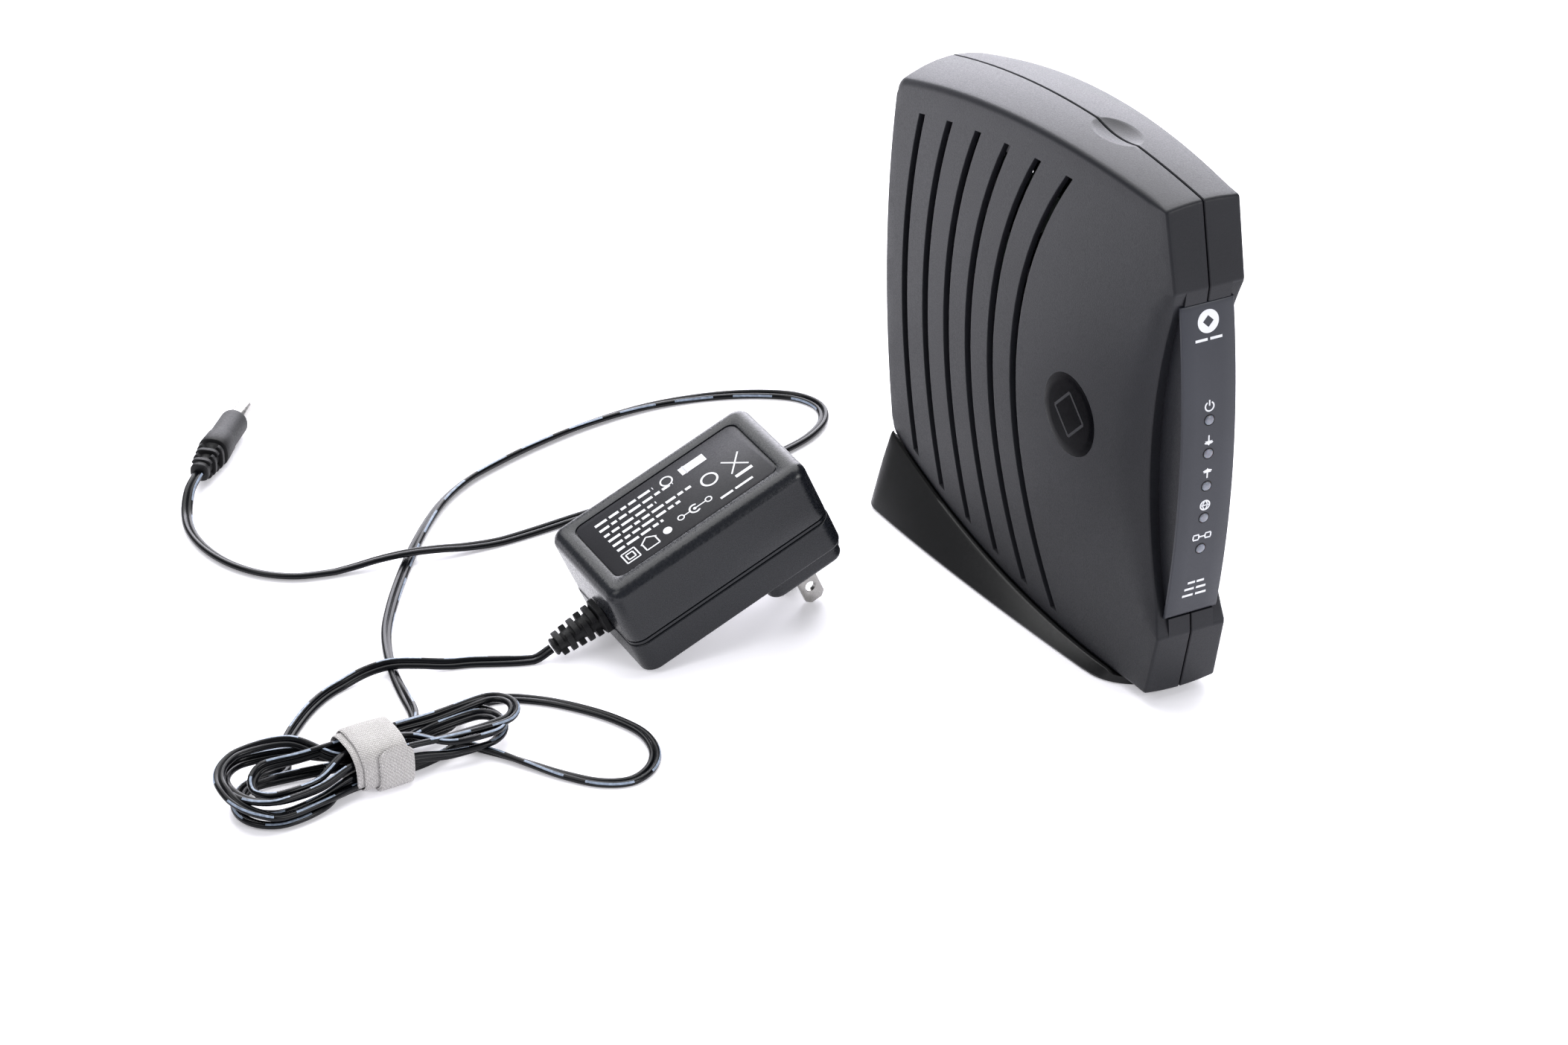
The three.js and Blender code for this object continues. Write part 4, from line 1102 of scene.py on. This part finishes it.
def plate_with_hole(outline, hole_centre, hole_radius, thick, bevel):
    """Flat bevelled plate in its own XY plane, made as a filled outline and turned to a mesh."""
    curve = bpy.data.curves.new("plate", "CURVE")
    curve.dimensions = "2D"
    curve.fill_mode = "BOTH"
    curve.extrude = thick / 2 - bevel
    curve.bevel_depth = bevel
    curve.bevel_resolution = 2
    curve.offset = -bevel
    hole = [polar(hole_radius, -2 * math.pi * k / 32, *hole_centre) for k in range(32)]
    for loop in (outline, hole):
        spline = curve.splines.new("POLY")
        spline.points.add(len(loop) - 1)
        for point, (x, y) in zip(spline.points, loop):
            point.co = (x, y, 0, 1)
        spline.use_cyclic_u = True
    holder = bpy.data.objects.new("plate", curve)
    mesh = bpy.data.meshes.new_from_object(holder)
    points = [tuple(vertex.co) for vertex in mesh.vertices]
    faces = [tuple(face.vertices) for face in mesh.polygons]
    bpy.data.objects.remove(holder)
    bpy.data.curves.remove(curve)
    bpy.data.meshes.remove(mesh)
    return points, faces


def make_blades():
    half = BLADE_WIDE / 2
    tip = -BLOCK_DEEP - BLADE_LONG
    edge_x = BLADE_X - half
    left = [(edge_x, -4), (edge_x, tip + BLADE_CHAMFER), (edge_x + BLADE_CHAMFER, tip)]
    outline = left + [(2 * BLADE_X - x, y) for x, y in left[::-1]]
    hole = (BLADE_X, -BLOCK_DEEP - 12.5)
    for name, side in (("near", -1), ("far", 1)):
        y = SUPPLY_WIDTH / 2 + side * BLADE_APART / 2
        plate = plate_with_hole(outline, hole, 1.6, BLADE_THICK, 0.14)
        plate = moved(plate, lambda point, y=y: at_supply((point[0], y + point[2], point[1])))
        mesh_piece(f"{name}_prong", plate, "nickel", "power_supply", [f"{name}_blade"],
                   angle=40)


def rib(start, long, radius, core, square, notch, after):
    """Rows of one rib of a sleeve, with the groove's radius core before it and after behind it."""
    rise = ((0, radius - 0.15), (0.15, radius), (long - 0.15, radius), (long, radius - 0.15))
    rows = [(start + step, reach, square, notch, core) for step, reach in rise]
    return [(start - 0.02, core, square - 1), *rows, (start + long + 0.02, after, square - 1)]


def ribbed(rows, place, sides=48):
    """Moulded sleeve whose rows are (distance, radius, squareness).

    A row that is notched on two sides also has the notch's turn and the radius in it.
    """
    loops = []
    for distance, radius, square, *cut in rows:
        loop = []
        for k in range(sides):
            angle = 2 * math.pi * (k + 0.5) / sides
            reach = abs(math.cos(angle)) ** square + abs(math.sin(angle)) ** square
            reach = radius / reach ** (1 / square)
            if cut and abs((angle - cut[0] + math.pi / 2) % math.pi - math.pi / 2) < 0.5:
                reach = cut[1]
            loop.append(place(distance, *polar(reach, angle)))
        loops.append(loop)
    return skin(loops)


def make_relief():
    middle = SUPPLY_WIDTH / 2

    def place(distance, across, up):
        return at_supply((-distance - 0.2, middle + across, RELIEF_Z + up * 0.92))

    rows = [(0, 4.9, 4), (1.5, 4.9, 4), (1.7, 4.7, 4)]
    ribs = 5
    pitch = (RELIEF_LONG - 3.1) / ribs
    for k in range(ribs):
        start = 2.5 + k * pitch
        radius = 4.7 - 0.28 * k
        core = radius - 1.2
        rows += rib(start, 1.8, radius, core, 3, math.pi / 2 * (k % 2), core - 0.05)
    rows += [(RELIEF_LONG - 0.6, 2.9, 2), (RELIEF_LONG - 0.2, 2.8, 2), (RELIEF_LONG, 2.5, 2)]
    return mesh_piece("relief_sleeve", ribbed(rows, place), "rubber", "power_supply",
                      ["strain_relief"], angle=35)


# ---- plug ----------------------------------------------------------------------------
def make_plug():
    def place(distance, across, up):
        return at_plug((distance, across, up))

    rows = [(0.3, 2.6, 2.4), (0.6, 2.9, 2.6), (2.2, 2.9, 2.6)]
    ribs = 4
    for k in range(ribs):
        start = 2.6 + k * 2.5
        radius = 3.4 + 0.28 * k
        core = 2.5 + 0.12 * k
        rows += rib(start, 1.5, radius, core, 3.2, math.pi / 2 * (k % 2), core)
    rows += [(12.9, 3.6, 2.4), (13.1, 4.7, 2.4), (13.4, 4.85, 2.4), (15.5, 4.85, 2.3), (20.2, 4.7, 2.1),
             (20.7, 4.45, 2), (32.2, 4.4, 2), (32.9, 4.2, 2), (33.3, 3.8, 2), (33.3, 2.9, 2)]
    moulding = mesh_piece("plug_body", ribbed(rows, place), "rubber", "power_supply",
                          ["plug_moulding"], angle=35)
    barrel = [(2.75, 33.1), (2.75, 41.9), (2.65, 42.2), (2.45, 42.3), (1.5, 42.3), (1.3, 42.1),
              (1.25, 35.5), (0.4, 35.4)]
    tip = lathe(barrel, lambda a, b, height: at_plug((height, a, b)), 36)
    metal = mesh_piece("plug_tip", tip, "nickel", "power_supply", ["plug_barrel"], angle=35)
    return moulding, metal


# ---- strap ---------------------------------------------------------------------------
def strap_point(u, turn, out):
    """A point of the band at a turn angle, out millimetres outside its inner face."""
    half = STRAP_HALF - 1.2 + out
    tall = (STRAP_HIGH - STRAP_LOW) / 2 - 1.2 + out
    power = 2 / 3.2
    across = math.copysign(abs(math.cos(turn)) ** power, math.cos(turn)) * half
    up = math.copysign(abs(math.sin(turn)) ** power, math.sin(turn)) * tall
    wave = 0.18 * math.sin(3 * turn + u * 0.4)
    height = (STRAP_LOW + STRAP_HIGH) / 2 + up + (wave if up > 0 else 0)
    return at_hank((u, across, max(height, 0.04 + 0.05 * out)))


def make_strap():
    """Two turns of tape and the loose tongue at their end, round at its tip."""
    turns = [2 * math.pi * k / 96 for k in range(96)]

    def band(low, high, inner, outer):
        rows = [(low, inner + 0.2), (low + 0.12, outer - 0.2), (low + 0.4, outer)]
        rows += [(low + (high - low) * t, outer) for t in (0.25, 0.5, 0.75)]
        rows += [(high - 0.4, outer), (high - 0.12, outer - 0.2), (high, inner + 0.2)]
        rows += [(high - 0.3, inner), (low + 0.3, inner), (low, inner + 0.2)]
        loops = []
        for u, out in rows:
            loops.append([strap_point(u + 0.25 * math.sin(2 * turn), turn, out) for turn in turns])
        return skin(loops, caps=False)

    shapes = [band(-9.6, 4.4, 0.0, 0.56), band(-7.7, 6.2, 0.86, 1.44)]
    middle, half = 1.7, 5.1
    start, end = math.radians(-100), math.radians(-222)
    rows = []
    section = [(-1, 0), (-1, 0.7), (-0.95, 0.95), (-0.5, 1), (0, 1), (0.5, 1), (0.95, 0.95), (1, 0.7),
               (1, 0), (0, -0.02)]
    steps = 44
    for k in range(steps + 1):
        turn = start + (end - start) * k / steps
        left = 1 - k / steps
        reach = half * min(1.0, math.sqrt(max(0.0, 1 - max(0.0, (0.2 - left) / 0.2) ** 2)) + 0.02)
        lift = 1.7 + 0.45 * smooth((0.2 - left) / 0.2)
        rows.append([strap_point(middle + side * reach, turn, lift + out) for side, out in section])
    shapes.append(skin(rows))
    return mesh_piece("hook_and_loop_strap", merge(*shapes), "strap", "power_supply",
                      ["hank_strap"], angle=50)


# ---- cord ----------------------------------------------------------------------------
def past_relief(distance):
    return at_supply((-0.3 - RELIEF_LONG - distance, SUPPLY_WIDTH / 2, RELIEF_Z))


# Routes are (x, y, height) points; one without a height lies on the floor at REST.
SUPPLY_RUN = [
    past_relief(0.4), past_relief(1.6), (-153, 28.6, 2.4), (-158, 30), (-163.5, 32.3), (-170, 35.2, 2.1),
    (-178, 37.6, 3.2), (-185, 39.8, 4.9), (-192, 41.6, 6.1), (-199, 42.4, 4.9), (-206, 41.4, 3.1),
    (-213, 38.6, 2.1), (-220, 33.8), (-226, 28.2), (-231, 22.6), (-235, 16, 2.4), (-238, 8, 3.4),
]
LOOSE_LOOP = [
    (-190, 6, 5), (-184.5, 11.4, 4), (-178, 14.8, 2.6), (-169.5, 14.2), (-161.3, 9), (-152.6, -0.4),
    (-146, -10.6), (-142.6, -20.4), (-144, -30.1), (-149, -36.6), (-155.8, -39.2), (-163.2, -36.4),
    (-170.5, -28.8), (-177.2, -19.1), (-184, -9.4), (-190, -3, 2.4),
]
PLUG_RUN = [
    (-205, 3, 3), (-199, 10, 2.6), (-195.4, 18), (-193.8, 27.4), (-192.4, 38), (-189.6, 49.4),
    (-185.4, 60.7), (-179, 72.4), (-170.8, 85.2), (-161.6, 98.2), (-150.4, 112), (-140, 122.4),
    (-128.7, 130), (-116, 135.3), (-101.9, 139.9), (-81.7, 144.6), (-60.3, 146.3), (-41.2, 143.4),
    (-25, 136.6),
    (-16.2, 129.6), (-13.2, 121.6), (-16, 113.4), (-24, 106.6), (-35, 102.2), (-52, 98.6), (-72, 96.6),
    (-92, 95.8), (-108, 95), (-124, 93.4), (-136, 92.8, 2.1), (-146, 93.3, 3.4), (-154.5, 94.2, 5.2),
    (-163.5, 95.4, 6.1), (-172.5, 97, 5), (-180, 98.2, 3.2), (-188, 99.4, 2.1), (-197, 102), (-205, 108),
    (-211, 117), (-214.4, 128.6), (-214.6, 140.4), (-211.8, 151, 2.6), (-207.9, 158.4, 4),
    (PLUG_PLACE.x - 1.6, PLUG_PLACE.y - 1.9, PLUG_PLACE.z), tuple(PLUG_PLACE),
]


def settle(route, keep_first=0, keep_last=0):
    """The flat cord lies lower than the round tube that stands for it, and its humps are lower too."""
    result = []
    for k, (x, y, *z) in enumerate(route):
        height = z[0] if z else REST
        if keep_first <= k < len(route) - keep_last:
            height = CORD_THICK / 2 + 0.05 + (height - REST) * 0.62
        result.append((x, y, height))
    return result


def lobe(side, reach, radius, levels, enter, leave, shift=0.0, steps=9):
    """Half a turn of the hank: in along the waist, round one end, and back to the waist.

    side is -1 for the left end and 1 for the right; levels are heights going in, at the end and coming
    out; enter and leave are (across, height) where the cord passes through the strap, and enter is None
    where the cord comes from a run.
    """
    into = -side
    points = []
    if enter:
        points += [(side * 10, enter[0] * 0.9 + into * radius * 0.12, (enter[1] * 3 + levels[0]) / 4)]
        points += [(side * 20, shift * 0.7 + into * radius * 0.85, levels[0])]
    centre = reach - radius
    for k in range(steps):
        angle = math.pi * (k + 0.5) / steps
        height = levels[0] + (levels[1] - levels[0]) * min(1, 2 * (k + 0.5) / steps)
        if k > steps / 2:
            height = levels[1] + (levels[2] - levels[1]) * (2 * (k + 0.5) / steps - 1)
        around = shift + into * radius * math.cos(angle)
        points.append((side * (centre + radius * math.sin(angle)), around, height))
    points += [(side * 20, shift * 0.7 - into * radius * 0.85, levels[2])]
    points += [(side * 10, leave[0] * 0.9 - into * radius * 0.12, (leave[1] * 3 + levels[2]) / 4)]
    return [at_hank(point) for point in points]


def hank_route():
    """The hank's half turns one after another, with the loose loop between the last two."""
    # Where the cord lies inside the strap, as (across, height), in the order it passes.
    cells = [(-5.2, 5.9), (5.0, 5.9), (-4.6, 9.5), (4.9, 9.6), (0.1, 10.6), (0.4, 6.6), (-5.7, 2.5),
             (5.4, 2.4), (-1.2, 2.7)]
    # Each half turn is (side, reach, radius, levels, shift), as in lobe().
    turns = [
        (-1, 39.5, 9.0, (2.6, 3.0, 3.2), 1.0),
        (1, 38.6, 8.4, (3.4, 4.2, 5.6), 1.2),
        (-1, 42.5, 11.6, (7.0, 8.4, 7.2), 3.0),
        (1, 42.6, 6.0, (7.9, 8.6, 8.4), 1.0),
        (-1, 36.0, 6.6, (9.0, 6.2, 7.8), 0.5),
        (1, 37.0, 6.0, (7.4, 6.6, 6.2), -1.8),
        (-1, 44.5, 12.4, (11.0, 9.6, 3.4), 1.6),
    ]
    route = []
    enter = None
    for (side, reach, radius, levels, shift), leave in zip(turns, cells):
        route += lobe(side, reach, radius, levels, enter, leave, shift) + [at_hank((0, *leave))]
        enter = leave
    route += [at_hank((9, -4.6, 2.0)), at_hank((18, -3.0, 1.4))]
    route += settle(LOOSE_LOOP)[::-1]
    route += [at_hank((17, 6.6, 3.3)), at_hank((8, 5.9, 2.8)), at_hank((0, *cells[7]))]
    route += lobe(-1, 41.0, 10.6, (1.6, 1.2, 1.4), cells[7], cells[8], shift=-0.4)
    return route + [at_hank((0, *cells[8])), at_hank((5.6, 0.9, 2.0))]


def between(first, second, start, end, t):
    """The point at t on the straight line from first, at start, to second, at end."""
    return (end - t) / (end - start) * first + (t - start) / (end - start) * second


def smooth_route(points, spacing):
    """Centripetal Catmull-Rom curve through the points, sampled at even spacing."""
    points = [np.array(point, float) for point in points]
    points = [2 * points[0] - points[1], *points, 2 * points[-1] - points[-2]]
    dense = []
    for p0, p1, p2, p3 in zip(points, points[1:], points[2:], points[3:]):
        t0 = 0.0
        t1 = t0 + np.linalg.norm(p1 - p0) ** 0.5
        t2 = t1 + np.linalg.norm(p2 - p1) ** 0.5
        t3 = t2 + np.linalg.norm(p3 - p2) ** 0.5
        for t in np.linspace(t1, t2, 16, endpoint=False):
            a1 = between(p0, p1, t0, t1, t)
            a2 = between(p1, p2, t1, t2, t)
            a3 = between(p2, p3, t2, t3, t)
            dense.append(between(between(a1, a2, t0, t2, t), between(a2, a3, t1, t3, t), t1, t2, t))
    dense.append(points[-2])
    dense = np.array(dense)
    along = np.concatenate([[0], np.cumsum(np.linalg.norm(np.diff(dense, axis=0), axis=1))])
    count = int(along[-1] / spacing)
    marks = np.linspace(0, along[-1], count + 1)
    return np.stack([np.interp(marks, along, dense[:, axis]) for axis in range(3)], axis=1), marks


def cord_section():
    """Two round conductors side by side, joined by a thin web, as (across, up) points."""
    radius = CORD_THICK / 2
    right = [polar(radius, math.radians(turn), CONDUCTOR_OUT) for turn in range(-145, 146, 29)]
    left = [(-across, up) for across, up in right][::-1]
    return right + [(0.0, 0.42)] + [(across, up) for across, up in left] + [(0.0, -0.42)]


def make_cord():
    """The whole flat cord as one piece, laid along its route and turned a little as it goes."""
    supply_part = settle(SUPPLY_RUN, keep_first=2)
    plug_part = settle(PLUG_RUN, keep_last=3)
    hank_part = hank_route()
    path, marks = smooth_route(supply_part + hank_part + plug_part, 1.5)
    length = marks[-1]
    tangents = np.gradient(path, axis=0)
    tangents /= np.linalg.norm(tangents, axis=1)[:, None]
    centre = np.array(at_hank((0, 0, 0)))
    section = cord_section()
    points = []
    centreline = []
    for k, (place, tangent, mark) in enumerate(zip(path, tangents, marks)):
        side = np.cross(tangent, (0, 0, 1))
        side /= np.linalg.norm(side)
        up = np.cross(side, tangent)
        near_hank = math.exp(-(np.linalg.norm(place[:2] - centre[:2]) / 40) ** 4)
        near_end = min(1.0, mark / 12, (length - mark) / 12)
        free = 0.5 * math.sin(mark / 37 + 0.6) + 0.35 * math.sin(mark / 61)
        packed = 0.9 + 0.45 * math.sin(mark / 23)
        twist = (free * (1 - near_hank) + packed * near_hank) * near_end
        across = side * math.cos(twist) + up * math.sin(twist)
        above = up * math.cos(twist) - side * math.sin(twist)
        reach = CORD_THICK / 2 + CONDUCTOR_OUT * abs(across[2])
        place = place.copy()
        place[2] = max(place[2], reach + 0.03)
        centreline.append(place)
        points.extend(tuple(place + across * a + above * b) for a, b in section)
    count = len(section)
    shape = skin([points[k:k + count] for k in range(0, len(points), count)])
    piece = mesh_piece("supply_cord", shape, "cord", "power_supply",
                       ["cord_supply_run", "cord_loose_loop", "cord_plug_run", "cord_hank"],
                       angle=60, weld=False)
    layer = piece.data.uv_layers.new(name="along")
    for polygon in piece.data.polygons:
        rows = [index // count for index in polygon.vertices]
        rounds = [index % count for index in polygon.vertices]
        wraps = max(rounds) - min(rounds) > count / 2
        for loop_index, row, turn in zip(polygon.loop_indices, rows, rounds):
            turn = turn + count if wraps and turn < count / 2 else turn
            layer.data[loop_index].uv = (marks[row] * MM, turn / count)
    metres(past_relief(0))
    [metres(place) for place in centreline]


# ---- run -----------------------------------------------------------------------------
make_camera()
looks = {
    "shell": moulded("housing_plastic", (0.0105, 0.011, 0.014), (0.36, 0.5), 2600, 0.25, specular=0.22),
    "label": moulded("label_film", (0.016, 0.018, 0.026), (0.36, 0.44), 1500, 0.06, specular=0.4),
    "ink": moulded("white_ink", (0.66, 0.67, 0.7), (0.5, 0.65), 1800, 0.05, 0.06),
    "ink_dark": moulded("dark_ring", (0.004, 0.004, 0.005), (0.3, 0.4), 1800, 0.05, specular=0.2),
    "disc": moulded("gloss_disc", (0.002, 0.002, 0.003), (0.2, 0.26), 1200, 0.03, specular=0.03),
    "lens": lens_material(),
    "stand": moulded("stand_plastic", (0.0075, 0.0075, 0.0078), (0.3, 0.42), 1400, 0.1, specular=0.25),
    "rubber": moulded("black_rubber", (0.005, 0.005, 0.006), (0.5, 0.62), 1800, 0.2, specular=0.3),
    "dark_plastic": moulded("dark_plastic", (0.006, 0.006, 0.007), (0.45, 0.6), 1800, 0.15, specular=0.3),
    "circuit_board": moulded("solder_mask", (0.003, 0.012, 0.006), (0.4, 0.5), 900, 0.1, specular=0.3),
    "tin": moulded("tin_plate", (0.3, 0.31, 0.32), (0.28, 0.42), 1200, 0.1, metal=1.0),
    "nickel": moulded("nickel_plate", (0.38, 0.37, 0.355), (0.2, 0.32), 900, 0.06, metal=1.0),
    "gold": moulded("gold_contact", (0.8, 0.55, 0.22), (0.2, 0.3), 900, 0.05, metal=1.0),
    "insulator": moulded("cream_insulator", (0.6, 0.57, 0.48), (0.4, 0.5), 900, 0.05),
    "heat_sink": moulded("anodised_aluminium", (0.06, 0.06, 0.065), (0.35, 0.5), 1200, 0.1, metal=1.0),
    "capacitor": moulded("capacitor_sleeve", (0.01, 0.012, 0.03), (0.25, 0.35), 800, 0.05, specular=0.3),
    "copper": moulded("varnished_winding", (0.12, 0.05, 0.02), (0.3, 0.45), 900, 0.2),
    "screw": moulded("black_zinc", (0.1, 0.1, 0.11), (0.3, 0.42), 1200, 0.1, metal=1.0),
    "supply_case": moulded("supply_plastic", (0.006, 0.007, 0.01), (0.2, 0.38), 1500, 0.35, specular=0.35),
    "supply_label": moulded("rating_panel", (0.014, 0.014, 0.017), (0.45, 0.6), 2200, 0.2, specular=0.2),
    "cord": cord_material(),
    "strap": woven_material(),
}
make_stage()
plug_pieces = make_plug()
strap_piece = make_strap()
relief_piece = make_supply()
make_cord()
make_shells()
make_label()
make_lenses()
make_prints()
make_stand()
make_coax()
make_nut()
make_contacts()
slots = {part["node"]: part["material_slot"] for part in frame["record"]["subparts"]}
for name, node in frame["nodes"].items():
    node.data.materials.clear()
    node.data.materials.append(looks[slots[name]])
